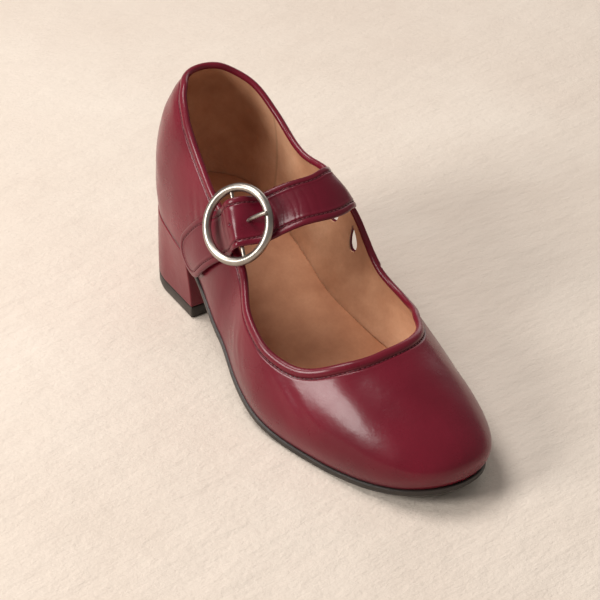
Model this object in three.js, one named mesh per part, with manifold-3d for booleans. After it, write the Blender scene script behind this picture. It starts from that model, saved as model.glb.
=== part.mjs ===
// A right mary jane shoe in smooth leather with a block heel, an instep strap and a round buckle.
// Millimetres, +Z up. The toe points to -Y and the medial side is +X. The tread lies on Z = 0.
import * as THREE from 'three';
import { mergeVertices } from 'three/addons/utils/BufferGeometryUtils.js';
import Module from 'manifold-3d';

const wasm = await Module();
wasm.setup();

// Last
const LENGTH = 243;
const BALL_WIDTH = 89;
const SEAT_WIDTH = 62;
const HEEL_RADIUS = 26;
const TOE_RADIUS = 37;
const SEAT_HEIGHT = 48;
const TOE_SPRING = 8.8;
const INSTEP = 72;
const LEAN = 10;

// Throat: how far its front and its sides lie from the ridge's front end
const THROAT_FRONT = 46.5;
const THROAT_LATERAL = 37.5;
const THROAT_MEDIAL = 36.5;
const LATERAL_ROUNDING = 1.95;
const MEDIAL_ROUNDING = 3.0;

// Thicknesses and clearance
const WALL = 2.0;
const BEAD = 1.2;
const BEAD_WIDTH = 4.4;
const SOLE = 3.7;
const INSOLE = 2.2;
const GAP = 0.3;
const RING_ROOM = 2.5;

// Heel
const BREAST = 57;
const HEEL_FOOT_WIDTH = 55;
const HEEL_FOOT_BACK = 1.5;
const TOP_PIECE = 6.5;

// Strap and buckle
const STRAP_WIDTH = 24;
const STRAP = 1.8;
const TIP_RADIUS = 13;
const RING_DIAMETER = 39;
const RING_STOCK = 4.2;
const BAR_STOCK = 1.8;
const PRONG_STOCK = 2.0;
const TAB_WIDTH = 13;
const TAB = 1.2;

// Where the bar crosses the strap's centre line: turn from the ridge, the lateral side is negative
const BUCKLE_TURN = -0.572;

// Half widths of the plan outline. along is a share of LENGTH; the others are shares of the width there.
const OUTLINE = [
  { along: 0.000, lateral: 0.000, medial: 0.000 },
  { along: 0.090, lateral: 0.435, medial: 0.460 },
  { along: 0.180, lateral: 0.500, medial: 0.505 },
  { along: 0.300, lateral: 0.508, medial: 0.461 },
  { along: 0.420, lateral: 0.492, medial: 0.384 },
  { along: 0.520, lateral: 0.499, medial: 0.408 },
  { along: 0.610, lateral: 0.511, medial: 0.478 },
  { along: 0.700, lateral: 0.466, medial: 0.511 },
  { along: 0.800, lateral: 0.388, medial: 0.483 },
  { along: 0.885, lateral: 0.298, medial: 0.429 },
  { along: 0.953, lateral: 0.180, medial: 0.343 },
  { along: 1.000, lateral: -0.101, medial: 0.101 },
];

// Height of the feather line over the forefoot. seat is a share of the seat's rise, toe of the toe spring.
const FEATHER = [
  { along: 0.000, seat: 1.000, toe: 0.000 },
  { along: 0.103, seat: 0.961, toe: 0.000 },
  { along: 0.226, seat: 0.841, toe: 0.000 },
  { along: 0.329, seat: 0.659, toe: 0.000 },
  { along: 0.432, seat: 0.420, toe: 0.000 },
  { along: 0.535, seat: 0.196, toe: 0.000 },
  { along: 0.605, seat: 0.068, toe: 0.000 },
  { along: 0.655, seat: 0.015, toe: 0.000 },
  { along: 0.695, seat: 0.000, toe: 0.000 },
  { along: 0.775, seat: 0.000, toe: 0.000 },
  { along: 0.844, seat: 0.000, toe: 0.160 },
  { along: 0.926, seat: 0.000, toe: 0.520 },
  { along: 1.000, seat: 0.000, toe: 1.000 },
];

// Height of the ridge over the feather line, as a share of INSTEP, and its lean to the medial side, of LEAN.
const RIDGE = [
  { along: 0.000, height: 1.110, lean: 0.40 },
  { along: 0.165, height: 1.110, lean: 0.60 },
  { along: 0.288, height: 1.090, lean: 0.90 },
  { along: 0.370, height: 1.055, lean: 1.60 },
  { along: 0.453, height: 1.015, lean: 1.80 },
  { along: 0.535, height: 0.950, lean: 1.00 },
  { along: 0.617, height: 0.861, lean: 0.40 },
  { along: 0.691, height: 0.750, lean: 0.30 },
  { along: 0.761, height: 0.653, lean: 0.20 },
  { along: 0.844, height: 0.555, lean: 0.12 },
  { along: 0.926, height: 0.450, lean: 0.05 },
  { along: 1.000, height: 0.335, lean: 0.00 },
];

// Shape of a section. station runs from the heel (0) to the toe (1) round either side.
const SECTION = [
  { station: 0.00, widest: 0.28, tuck: 0.95, power: 2.6, crown: 0.00 },
  { station: 0.15, widest: 0.28, tuck: 0.95, power: 2.6, crown: 0.00 },
  { station: 0.30, widest: 0.27, tuck: 0.95, power: 2.4, crown: 0.00 },
  { station: 0.50, widest: 0.26, tuck: 0.94, power: 2.1, crown: 0.05 },
  { station: 0.60, widest: 0.25, tuck: 0.94, power: 2.3, crown: 0.15 },
  { station: 0.68, widest: 0.26, tuck: 0.94, power: 3.2, crown: 0.30 },
  { station: 0.80, widest: 0.28, tuck: 0.960, power: 4.6, crown: 0.30 },
  { station: 1.00, widest: 0.34, tuck: 0.975, power: 5.2, crown: 0.20 },
];

// The topline, as a share of the turn from the widest line (0) to the ridge (1) on each side.
const TOPLINE = [
  { station: 0.000, lateral: 0.660, medial: 0.660 },
  { station: 0.080, lateral: 0.660, medial: 0.650 },
  { station: 0.165, lateral: 0.665, medial: 0.560 },
  { station: 0.240, lateral: 0.590, medial: 0.470 },
  { station: 0.290, lateral: 0.500, medial: 0.390 },
  { station: 0.335, lateral: 0.405, medial: 0.340 },
  { station: 0.370, lateral: 0.350, medial: 0.360 },
  { station: 0.390, lateral: 0.335, medial: 0.400 },
  { station: 0.404, lateral: 0.328, medial: 0.440 },
  { station: 0.418, lateral: 0.320, medial: 0.490 },
  { station: 0.464, lateral: 0.295, medial: 0.490 },
  { station: 0.470, lateral: 0.290, medial: 0.445 },
  { station: 0.477, lateral: 0.285, medial: 0.365 },
  { station: 0.485, lateral: 0.280, medial: 0.290 },
  { station: 0.500, lateral: 0.275, medial: 0.240 },
  { station: 0.525, lateral: 0.290, medial: 0.240 },
  { station: 0.550, lateral: 0.328, medial: 0.285 },
  { station: 0.590, lateral: 0.375, medial: 0.375 },
  { station: 0.630, lateral: 0.455, medial: 0.465 },
  { station: 0.685, lateral: 0.620, medial: 0.600 },
];

// The strap's centre line over the instep. turn is measured from the ridge, along is a share of LENGTH,
// and rise is the height of the strap's inner face over the last, in steps named below.
const STRAP_LINE = [
  { turn: 0.600, along: 0.400, rise: 'root' },
  { turn: 0.400, along: 0.431, rise: 'root' },
  { turn: 0.200, along: 0.458, rise: 'instep' },
  { turn: 0.000, along: 0.472, rise: 'instep' },
  { turn: -0.400, along: 0.444, rise: 'side' },
  { turn: -0.572, along: 0.412, rise: 'bar' },
  { turn: -0.740, along: 0.375, rise: 'side' },
  { turn: -0.960, along: 0.320, rise: 'side' },
  { turn: -1.220, along: 0.259, rise: 'side' },
];

// Cut-outs of the medial quarter: the round end, the pointed tip and the half width of each.
const PETALS = [
  { round: { station: 0.391, rise: 0.235 }, tip: { station: 0.426, rise: 0.365 }, width: 4.6 },
  { round: { station: 0.420, rise: 0.120 }, tip: { station: 0.439, rise: 0.305 }, width: 4.6 },
  { round: { station: 0.466, rise: 0.100 }, tip: { station: 0.463, rise: 0.290 }, width: 3.6 },
];

// The strap goes under both sides of the ring and over its bar. How far along the strap its edges meet the ring,
// and how far the instep falls away by there:
const RING_RADIUS = (RING_DIAMETER - RING_STOCK) / 2;
const INSTEP_CURVE = 45;
const UNDER_RING = Math.sqrt((RING_RADIUS - RING_STOCK / 2) ** 2 - (STRAP_WIDTH / 2) ** 2);
const SAG = UNDER_RING ** 2 / (2 * INSTEP_CURVE);

// Heights over the last's outer face, from the wall outwards
const SIDE_RISE = BEAD + GAP;
const BAR_HEIGHT = SIDE_RISE + STRAP + GAP + RING_ROOM + RING_STOCK / 2 - SAG;
const STRAP_RISE = {
  root: -WALL,
  instep: 0.5,
  side: SIDE_RISE,
  bar: BAR_HEIGHT + BAR_STOCK / 2 + 3 * GAP,
};

const { PI, sin, cos, acos, abs, sqrt, min, max } = Math;
const clamp = (x, a, b) => min(max(x, a), b);
const lerp = (a, b, t) => a + (b - a) * t;
const smooth = (x, a, b) => {
  const t = clamp((x - a) / (b - a), 0, 1);
  return t * t * (3 - 2 * t);
};

// A curve through table rows that doesn't overshoot between them.
function spline(xs, ys) {
  const n = xs.length;
  const h = xs.slice(1).map((x, i) => x - xs[i]);
  const d = h.map((step, i) => (ys[i + 1] - ys[i]) / step);
  const slope = xs.map((_, i) => {
    if (i === 0) return d[0];
    if (i === n - 1) return d[n - 2];
    if (d[i - 1] * d[i] <= 0) return 0;
    const w = h[i - 1] + h[i];
    return w / ((h[i - 1] / 3 + 2 * h[i] / 3) / d[i] + (2 * h[i - 1] / 3 + h[i] / 3) / d[i - 1]);
  });
  return (x) => {
    if (x <= xs[0]) return ys[0] + slope[0] * (x - xs[0]);
    if (x >= xs[n - 1]) return ys[n - 1] + slope[n - 1] * (x - xs[n - 1]);
    let i = 0;
    while (x > xs[i + 1]) i += 1;
    const t = (x - xs[i]) / h[i];
    const t2 = t * t;
    const t3 = t2 * t;
    return (2 * t3 - 3 * t2 + 1) * ys[i] + (t3 - 2 * t2 + t) * h[i] * slope[i]
      + (3 * t2 - 2 * t3) * ys[i + 1] + (t3 - t2) * h[i] * slope[i + 1];
  };
}
const column = (table, x, y) => spline(table.map((row) => row[x]), table.map((row) => row[y]));

// Heights and widths along the last
const seatShare = column(FEATHER, 'along', 'seat');
const toeShare = column(FEATHER, 'along', 'toe');
const ridgeShare = column(RIDGE, 'along', 'height');
const leanShare = column(RIDGE, 'along', 'lean');
const treadTop = SOLE + GAP;
const feather = (u) => treadTop + seatShare(u / LENGTH) * (SEAT_HEIGHT - treadTop) + toeShare(u / LENGTH) * TOE_SPRING;
const ridge = (u) => feather(u) + ridgeShare(u / LENGTH) * INSTEP;
const widthAt = (share) => lerp(SEAT_WIDTH, BALL_WIDTH, smooth(share, 0.25, 0.55));

const middle = column(
  OUTLINE.map((row) => ({ x: row.along, y: (row.medial - row.lateral) / 2 * widthAt(row.along) })), 'x', 'y');
const stationOf = (share) => acos(1 - 2 * clamp(share, 0, 1)) / PI;
const shareOf = (station) => (1 - cos(PI * station)) / 2;
const bulge = column(OUTLINE.map((row, i) => {
  const station = stationOf(row.along);
  if (i === 0) return { x: 0, y: sqrt(HEEL_RADIUS * LENGTH / 2) };
  if (i === OUTLINE.length - 1) return { x: 1, y: sqrt(TOE_RADIUS * LENGTH / 2) };
  return { x: station, y: (row.medial + row.lateral) / 2 * widthAt(row.along) / sin(PI * station) };
}), 'x', 'y');
const section = Object.fromEntries(
  ['widest', 'tuck', 'power', 'crown'].map((name) => [name, column(SECTION, 'station', name)]));

// The ridge runs between the centres of the heel's and the toe's rounding.
const RIDGE_BACK = 45;
const RIDGE_FRONT = 138;

// The mean of a curve over a short stretch.
const softened = (curve, reach) => (x) => (
  [[-1, 0.1], [-0.5, 0.2], [0, 0.4], [0.5, 0.2], [1, 0.1]]
    .reduce((sum, [step, weight]) => sum + weight * curve(abs(x + step * reach)), 0));
const collar = {
  '-1': softened(column(TOPLINE, 'station', 'lateral'), 0.024),
  1: softened(column(TOPLINE, 'station', 'medial'), 0.024),
};

// Where the throat's front, a rounded oval seen from above, crosses a station.
function throatRise(side, station) {
  const share = shareOf(station);
  const off = middle(share) + side * bulge(station) * sin(PI * station) - middle(RIDGE_FRONT / LENGTH);
  const ahead = max(share * LENGTH - RIDGE_FRONT, 0);
  const width = off < 0 ? THROAT_LATERAL : THROAT_MEDIAL;
  const power = off < 0 ? LATERAL_ROUNDING : MEDIAL_ROUNDING;
  const s = ((abs(off) / width) ** power + (ahead / THROAT_FRONT) ** power) ** (-1 / power);
  return acos(clamp(s, 0, 1) ** (section.power(station) / 2)) * 2 / PI;
}

const toplineRise = (side, station) => (
  lerp(collar[side](station), throatRise(side, station), smooth(station, 0.58, 0.66)));

// A point of the last's surface. ring runs 0 heel, to 1 toe on the medial side, to -1 toe on the lateral side;
// rise is -1 at the feather line, 0 at the widest line and 1 on the ridge.
function lastPoint(ring, rise) {
  const wrapped = ring > 1 ? ring - 2 : ring < -1 ? ring + 2 : ring;
  const side = wrapped < 0 ? -1 : 1;
  const station = abs(wrapped);
  const share = shareOf(station);
  const u = share * LENGTH;
  const half = bulge(station) * sin(PI * station);
  const edge = middle(share) + side * half;
  const turn = max(rise, 0) * PI / 2;
  const tuck = section.tuck(station);
  const s = rise > 0 ? cos(turn) ** (2 / section.power(station)) : 1 - (1 - tuck) * rise * rise;
  const ridgeU = clamp(u, RIDGE_BACK, RIDGE_FRONT);
  const ridgeX = middle(ridgeU / LENGTH);
  const along = ridgeU + s * (u - ridgeU);
  const across = ridgeX + s * (edge - ridgeX);
  const here = along / LENGTH;
  const hereHalf = max(bulge(stationOf(here)) * sin(PI * stationOf(here)), 1);
  const off = (across - middle(here)) / hereHalf;
  const widest = section.widest(station);
  const height = rise > 0
    ? widest + (1 - widest) * sin(turn) * (1 - section.crown(station) * off * off)
    : widest * (1 + rise);
  const lean = leanShare(here) * LEAN * height;
  return new THREE.Vector3(across + lean, -along, feather(along) + height * (ridge(along) - feather(along)));
}

function lastNormal(ring, rise) {
  const e = 0.002;
  const a = lastPoint(ring + e, rise).sub(lastPoint(ring - e, rise));
  const b = lastPoint(ring, rise + e).sub(lastPoint(ring, rise - e));
  return b.cross(a).normalize();
}

// A surface in u and turn over the instep: turn is 0 on the ridge and 1 on the medial widest line, -1 on the lateral.
const ringAt = (u, turn) => (turn < 0 ? -1 : 1) * stationOf(u / LENGTH);

function instepPoint(u, turn) {
  const ring = ringAt(u, turn);
  const widest = section.widest(abs(ring));
  const rise = 1 - abs(turn);
  return lastPoint(ring, rise < 0 ? rise * (1 - widest) * PI / 2 / widest : rise);
}

function instepNormal(u, turn) {
  const a = instepPoint(u + 1, turn).sub(instepPoint(u - 1, turn));
  const b = instepPoint(u, turn + 0.01).sub(instepPoint(u, turn - 0.01));
  return a.cross(b).normalize();
}

// Joins loops of equal length into one closed solid. Points that fall together become one.
function loft(loops, closed = false) {
  const keys = new Map();
  const positions = [];
  const index = loops.map((loop) => loop.map((v) => {
    const key = [v.x, v.y, v.z].map((c) => Math.round(c * 1e4)).join();
    if (!keys.has(key)) {
      keys.set(key, positions.length / 3);
      positions.push(v.x, v.y, v.z);
    }
    return keys.get(key);
  }));
  const triangles = [];
  const add = (a, b, c) => {
    if (a !== b && b !== c && a !== c) triangles.push(a, b, c);
  };
  const count = loops[0].length;
  const last = closed ? loops.length : loops.length - 1;
  for (let j = 0; j < last; j += 1) {
    const low = index[j];
    const high = index[(j + 1) % loops.length];
    for (let i = 0; i < count; i += 1) {
      const k = (i + 1) % count;
      add(low[i], low[k], high[k]);
      add(low[i], high[k], high[i]);
    }
  }
  let volume = 0;
  const at = (i) => new THREE.Vector3(...positions.slice(3 * i, 3 * i + 3));
  for (let i = 0; i < triangles.length; i += 3) {
    volume += at(triangles[i]).dot(at(triangles[i + 1]).cross(at(triangles[i + 2])));
  }
  if (volume < 0) triangles.reverse();
  const geometry = new THREE.BufferGeometry();
  geometry.setAttribute('position', new THREE.Float32BufferAttribute(positions, 3));
  geometry.setIndex(triangles);
  return geometry;
}

const toSolid = (geometry) => new wasm.Manifold(new wasm.Mesh({
  numProp: 3,
  vertProperties: new Float32Array(geometry.attributes.position.array),
  triVerts: new Uint32Array(geometry.index.array),
}));

function toGeometry(solid) {
  const mesh = solid.getMesh();
  const geometry = new THREE.BufferGeometry();
  geometry.setAttribute('position', new THREE.Float32BufferAttribute(mesh.vertProperties, 3));
  geometry.setIndex(new THREE.Uint32BufferAttribute(mesh.triVerts, 1));
  return geometry;
}

function welded(geometry) {
  const bare = geometry.clone();
  bare.deleteAttribute('normal');
  bare.deleteAttribute('uv');
  return mergeVertices(bare, 1e-4);
}

// Steps round each side of the last
const RING_STEPS = 48;

// Stations round the last, closer together near the strap's root.
function ringStations(perSide) {
  const steps = 400;
  const density = (p) => 1 + 2.2 * Math.exp(-(((p - 0.46) / 0.045) ** 2));
  const total = [0];
  for (let i = 0; i < steps; i += 1) total.push(total[i] + density((i + 0.5) / steps));
  const stations = [0];
  for (let k = 1, i = 0; k < perSide; k += 1) {
    const want = total[steps] * k / perSide;
    while (total[i + 1] < want) i += 1;
    stations.push((i + (want - total[i]) / (total[i + 1] - total[i])) / steps);
  }
  stations.push(1);
  return [...stations, ...stations.slice(1, -1).reverse().map((p) => -p)];
}

// Rises up one station of the upper: evenly spaced in the body, then at set distances from the topline.
function risesAt(ring, bodyRows, edgeDistances) {
  const side = ring < 0 ? -1 : 1;
  const edge = (station) => toplineRise(side, station);
  const top = edge(abs(ring));
  const samples = 70;
  const rises = Array.from({ length: samples + 1 }, (_, i) => lerp(-1, top, i / samples));
  const points = rises.map((rise) => lastPoint(ring, rise));
  const lengths = [0];
  for (let i = 1; i <= samples; i += 1) lengths.push(lengths[i - 1] + points[i].distanceTo(points[i - 1]));
  const full = lengths[samples];
  const riseAt = (distance) => {
    let i = 0;
    while (i < samples - 1 && lengths[i + 1] < distance) i += 1;
    return lerp(rises[i], rises[i + 1], (distance - lengths[i]) / (lengths[i + 1] - lengths[i]));
  };
  const before = clamp(abs(ring) - 0.004, 0, 1);
  const after = clamp(abs(ring) + 0.004, 0, 1);
  const along = lastPoint(side * after, edge(after)).sub(lastPoint(side * before, edge(before)));
  const ray = points[samples].clone().sub(points[samples - 3]).normalize();
  const slant = clamp(along.normalize().cross(ray).length(), 0.3, 1);
  const reach = edgeDistances[0] / slant;
  const body = Array.from({ length: bodyRows }, (_, i) => riseAt((full - reach) * i / bodyRows));
  return [...body, ...edgeDistances.map((d) => riseAt(full - d / slant))];
}

function footPoint(ring, inset) {
  const point = lastPoint(ring, -1);
  const out = lastNormal(ring, -1);
  out.z = 0;
  return point.addScaledVector(out.normalize(), -inset);
}

// The bead is a step in the wall along the topline, with one entry for each distance from the edge.
const BEAD_STEPS = [
  { distance: BEAD_WIDTH, rise: 0 },
  { distance: BEAD_WIDTH * 0.84, rise: BEAD * 0.75 },
  { distance: BEAD_WIDTH * 0.5, rise: BEAD },
  { distance: BEAD_WIDTH * 0.2, rise: BEAD * 0.85 },
  { distance: 0, rise: BEAD * 0.2 },
];

function upperShell() {
  const rings = ringStations(RING_STEPS);
  const outerBody = 8;
  const outer = rings.map((ring) => {
    const rises = risesAt(ring, outerBody, BEAD_STEPS.map((step) => step.distance));
    return rises.map((rise, j) => {
      const swell = j < outerBody ? 0 : BEAD_STEPS[j - outerBody].rise;
      return lastPoint(ring, rise).addScaledVector(lastNormal(ring, rise), swell);
    });
  });
  const inner = rings.map((ring) => {
    const rises = risesAt(ring, 6, [BEAD_WIDTH, 0]);
    return rises.map((rise, j) => (j === 0
      ? footPoint(ring, WALL)
      : lastPoint(ring, rise).addScaledVector(lastNormal(ring, rise), -WALL)));
  });
  const loops = [];
  for (let j = 0; j < outer[0].length; j += 1) loops.push(outer.map((rows) => rows[j]));
  for (let j = inner[0].length - 1; j >= 0; j -= 1) loops.push(inner.map((rows) => rows[j]));
  return loft(loops, true);
}

function petalCutter({ round, tip, width }) {
  const from = lastPoint(round.station, round.rise);
  const to = lastPoint(tip.station, tip.rise);
  const centre = from.clone().add(to).multiplyScalar(0.5);
  const normal = lastNormal((round.station + tip.station) / 2, (round.rise + tip.rise) / 2);
  const axis = to.clone().sub(from).multiplyScalar(0.5);
  const across = normal.clone().cross(axis).normalize();
  const outline = Array.from({ length: 20 }, (_, i) => {
    const angle = 2 * PI * i / 20;
    return centre.clone()
      .addScaledVector(axis, cos(angle))
      .addScaledVector(across, width * sin(angle) * abs(sin(angle / 2)) ** 1.2);
  });
  const shifted = (distance) => outline.map((v) => v.clone().addScaledVector(normal, distance));
  const middleOf = (distance) => outline.map(() => centre.clone().addScaledVector(normal, distance));
  const depth = 3 * WALL;
  return toSolid(loft([middleOf(-depth), shifted(-depth), shifted(depth), middleOf(depth)]));
}

function makeUpper() {
  return toGeometry(PETALS.reduce((solid, petal) => solid.subtract(petalCutter(petal)), toSolid(upperShell())));
}

// The outline of the foot's underside drawn in by an inset, as its two edges over the way from heel to toe.
function outlineEdges(inset) {
  const steps = 240;
  const edges = [-1, 1].map((side) => Array.from(
    { length: steps + 1 }, (_, i) => footPoint(side * i / steps, inset)));
  const heel = -edges[0][0].y;
  const toe = -edges[0][steps].y;
  const acrossAt = (edge, u) => {
    let i = 0;
    while (i < steps - 1 && -edge[i + 1].y < u) i += 1;
    const t = clamp((u + edge[i].y) / (edge[i].y - edge[i + 1].y), 0, 1);
    return lerp(edge[i].x, edge[i + 1].x, t);
  };
  return { heel, toe, at: (u) => edges.map((edge) => acrossAt(edge, u)) };
}

// A layer under the foot: sections across it from one end to the other, with an edge of several steps.
function layer({ inset, top, thickness, edge, from }) {
  const sections = 56;
  const rows = edge.map(({ swell, depth }) => ({ ...outlineEdges(inset - swell), depth }));
  const point = (row, side, k) => {
    const begin = from ?? row.heel;
    const round = (1 - cos(PI * k)) / 2;
    const u = lerp(begin, row.toe, from === undefined ? round : sin(PI / 2 * k));
    return new THREE.Vector3(row.at(u)[side], -u, top(u) - row.depth * thickness);
  };
  const loops = Array.from({ length: sections + 1 }, (_, i) => {
    const k = i / sections;
    return [
      ...rows.map((row) => point(row, 0, k)),
      ...rows.slice().reverse().map((row) => point(row, 1, k)),
    ];
  });
  const middleOf = (loop) => {
    const centre = loop.reduce((sum, v) => sum.add(v), new THREE.Vector3()).divideScalar(loop.length);
    return loop.map(() => centre.clone());
  };
  return loft([middleOf(loops[0]), ...loops, middleOf(loops[sections])]);
}

const soleTop = (u) => feather(u) - GAP;

function makeOutsole() {
  const edge = [
    { depth: 0, swell: 0 },
    { depth: 0.1, swell: 0.5 },
    { depth: 0.75, swell: 0.5 },
    { depth: 1, swell: -0.6 },
  ];
  return layer({ inset: -0.4, top: soleTop, thickness: SOLE, edge, from: BREAST + GAP });
}

function makeInsole() {
  const edge = [{ depth: 0, swell: 0 }, { depth: 1, swell: 0 }];
  return layer({ inset: WALL + 2 * GAP, top: (u) => feather(u) + INSOLE, thickness: INSOLE, edge });
}

// Loops round the heel: the back follows the seat or the foot, and the front is the flat breast.
const HEEL_BACK_POINTS = 32;
const HEEL_FRONT_POINTS = 8;

function heelLoop(outlinePoint) {
  const back = Array.from({ length: HEEL_BACK_POINTS + 1 }, (_, i) => outlinePoint(2 * i / HEEL_BACK_POINTS - 1));
  const first = back[0];
  const last = back[HEEL_BACK_POINTS];
  const front = Array.from(
    { length: HEEL_FRONT_POINTS - 1 }, (_, i) => last.clone().lerp(first, (i + 1) / HEEL_FRONT_POINTS));
  return [...back, ...front];
}

const breastStation = stationOf(BREAST / LENGTH);
const seatLoop = heelLoop((t) => footPoint(t * breastStation, -0.4).setZ(0));
const footLoop = heelLoop((t) => {
  const half = HEEL_FOOT_WIDTH / 2;
  const depth = BREAST - HEEL_FOOT_BACK;
  const curve = depth * 0.52;
  const arc = clamp(abs(t) / 0.72, 0, 1) * PI / 2;
  const straight = clamp((abs(t) - 0.72) / 0.28, 0, 1);
  const u = HEEL_FOOT_BACK + curve * (1 - cos(arc)) + (depth - curve) * straight;
  return new THREE.Vector3(Math.sign(t) * half * sin(arc) ** 0.92, -u, 0);
});

function heelLoopAt(drop) {
  const share = 1 - (1 - drop) ** 1.6;
  return seatLoop.map((v, i) => v.clone().lerp(footLoop[i], share));
}

function drawnIn(loop, share, height) {
  const centre = new THREE.Vector3(0, -BREAST * 0.55, 0);
  return loop.map((v) => {
    const point = centre.clone().lerp(v, share);
    point.z = height(-point.y);
    return point;
  });
}

function makeHeelBlock() {
  const foot = () => TOP_PIECE + GAP;
  const sides = [0, 0.12, 0.3, 0.55, 0.8, 1].map((drop) => heelLoopAt(drop).map((v) => {
    const point = v.clone();
    point.z = lerp(soleTop(-v.y), foot(), drop);
    return point;
  }));
  const top = heelLoopAt(0);
  const low = heelLoopAt(1);
  return loft([drawnIn(top, 0, soleTop), drawnIn(top, 0.5, soleTop), ...sides, drawnIn(low, 0, foot)]);
}

function makeTopPiece() {
  const at = (share, height) => drawnIn(footLoop, share, () => height);
  return loft([at(0, TOP_PIECE), at(1, TOP_PIECE), at(1, 0.8), at(0.985, 0), at(0, 0)]);
}

// A strip that follows the instep: sections of an inner and an outer face, across a centre line.
// line gives u, turn, rise and half width at a share of its way; rise is measured from the last outwards.
function strip(line, thickness, sections, across, crown) {
  const frames = Array.from({ length: sections + 1 }, (_, i) => {
    const t = i / sections;
    const here = line(t);
    const a = line(clamp(t - 0.01, 0, 1));
    const b = line(clamp(t + 0.01, 0, 1));
    const perU = instepPoint(here.u + 1, here.turn).sub(instepPoint(here.u - 1, here.turn)).multiplyScalar(0.5);
    const perTurn = instepPoint(here.u, here.turn + 0.02).sub(instepPoint(here.u, here.turn - 0.02)).multiplyScalar(25);
    const way = instepPoint(b.u, b.turn).sub(instepPoint(a.u, a.turn)).normalize();
    const across = way.cross(instepNormal(here.u, here.turn)).normalize();
    const [uu, ut, tt] = [perU.dot(perU), perU.dot(perTurn), perTurn.dot(perTurn)];
    const [cu, ct] = [perU.dot(across), perTurn.dot(across)];
    const det = uu * tt - ut * ut;
    return { ...here, stepU: (cu * tt - ct * ut) / det, stepTurn: (ct * uu - cu * ut) / det };
  });
  const loops = frames.map((frame) => {
    const at = (v, out) => {
      const u = frame.u + v * frame.half * frame.stepU;
      const turn = frame.turn + v * frame.half * frame.stepTurn;
      const swell = out * (1 - crown * v ** 4);
      return instepPoint(u, turn).addScaledVector(instepNormal(u, turn), frame.rise + swell);
    };
    const sweep = Array.from({ length: across + 1 }, (_, k) => lerp(-1, 1, k / across));
    return [...sweep.map((v) => at(v, thickness)), ...sweep.reverse().map((v) => at(v, 0))];
  });
  const middleOf = (loop) => {
    const centre = loop.reduce((sum, v) => sum.add(v), new THREE.Vector3()).divideScalar(loop.length);
    return loop.map(() => centre.clone());
  };
  return loft([middleOf(loops[0]), ...loops, middleOf(loops[loops.length - 1])]);
}

// The strap's centre line by length: 0 at the root, 1 at the tip.
const strapAt = (() => {
  const steps = 160;
  const order = STRAP_LINE.map((_, i) => i);
  const raw = {
    turn: spline(order, STRAP_LINE.map((row) => row.turn)),
    u: spline(order, STRAP_LINE.map((row) => row.along * LENGTH)),
    rise: spline(order, STRAP_LINE.map((row) => STRAP_RISE[row.rise])),
  };
  const samples = Array.from({ length: steps + 1 }, (_, i) => {
    const k = i / steps * (STRAP_LINE.length - 1);
    return { u: raw.u(k), turn: raw.turn(k), rise: raw.rise(k) };
  });
  const points = samples.map(({ u, turn, rise }) => (
    instepPoint(u, turn).addScaledVector(instepNormal(u, turn), rise)));
  const lengths = [0];
  for (let i = 1; i <= steps; i += 1) lengths.push(lengths[i - 1] + points[i].distanceTo(points[i - 1]));
  const length = lengths[steps];
  const at = (distance) => {
    let i = 0;
    while (i < steps - 1 && lengths[i + 1] < distance) i += 1;
    const t = (distance - lengths[i]) / (lengths[i + 1] - lengths[i]);
    const [a, b] = [samples[i], samples[i + 1]];
    return { u: lerp(a.u, b.u, t), turn: lerp(a.turn, b.turn, t), rise: lerp(a.rise, b.rise, t) };
  };
  const reach = samples.findIndex((sample) => sample.turn < BUCKLE_TURN);
  const t = (BUCKLE_TURN - samples[reach - 1].turn) / (samples[reach].turn - samples[reach - 1].turn);
  return { at, length, bar: lerp(lengths[reach - 1], lengths[reach], t) };
})();

// The buckle's own axes: out of the shoe, along the strap towards its root, and across the strap.
const buckleFrame = (() => {
  const bar = strapAt.at(strapAt.bar);
  const normal = instepNormal(bar.u, bar.turn);
  const centre = instepPoint(bar.u, bar.turn).addScaledVector(normal, BAR_HEIGHT);
  const before = strapAt.at(strapAt.bar - RING_DIAMETER / 3);
  const after = strapAt.at(strapAt.bar + RING_DIAMETER / 3);
  const towards = instepPoint(before.u, before.turn).sub(instepPoint(after.u, after.turn));
  const along = towards.addScaledVector(normal, -towards.dot(normal)).normalize();
  const across = normal.clone().cross(along);
  const matrix = new THREE.Matrix4().makeBasis(along, across, normal).setPosition(centre);
  return { matrix };
})();

function prongPath(extra) {
  const start = BAR_STOCK / 2 + GAP + PRONG_STOCK / 2 - extra;
  const over = RING_STOCK / 2 + GAP + PRONG_STOCK / 2;
  return new THREE.CatmullRomCurve3([
    new THREE.Vector3(start, 0, -0.3),
    new THREE.Vector3(RING_RADIUS * 0.3, 0, 0),
    new THREE.Vector3(RING_RADIUS * 0.62, 0, over * 0.72),
    new THREE.Vector3(RING_RADIUS * 0.92, 0, over),
    new THREE.Vector3(RING_RADIUS + RING_STOCK * 0.35 + extra, 0, over),
  ]);
}

function sweepProng(radius, extra, sides, steps) {
  const outline = new THREE.Shape();
  outline.absarc(0, 0, radius, 0, 2 * PI, false);
  const geometry = welded(new THREE.ExtrudeGeometry(outline, {
    curveSegments: sides, steps, extrudePath: prongPath(extra),
  }));
  return geometry.applyMatrix4(buckleFrame.matrix);
}

function makeProng() {
  return sweepProng(PRONG_STOCK / 2, 0, 5, 12);
}

function makeRing() {
  const ring = welded(new THREE.TorusGeometry(RING_RADIUS, RING_STOCK / 2, 10, 44));
  const bar = new THREE.CylinderGeometry(BAR_STOCK / 2, BAR_STOCK / 2, 2 * RING_RADIUS, 10);
  const solid = toSolid(ring).add(toSolid(welded(bar)));
  return toGeometry(solid).applyMatrix4(buckleFrame.matrix);
}

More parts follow.
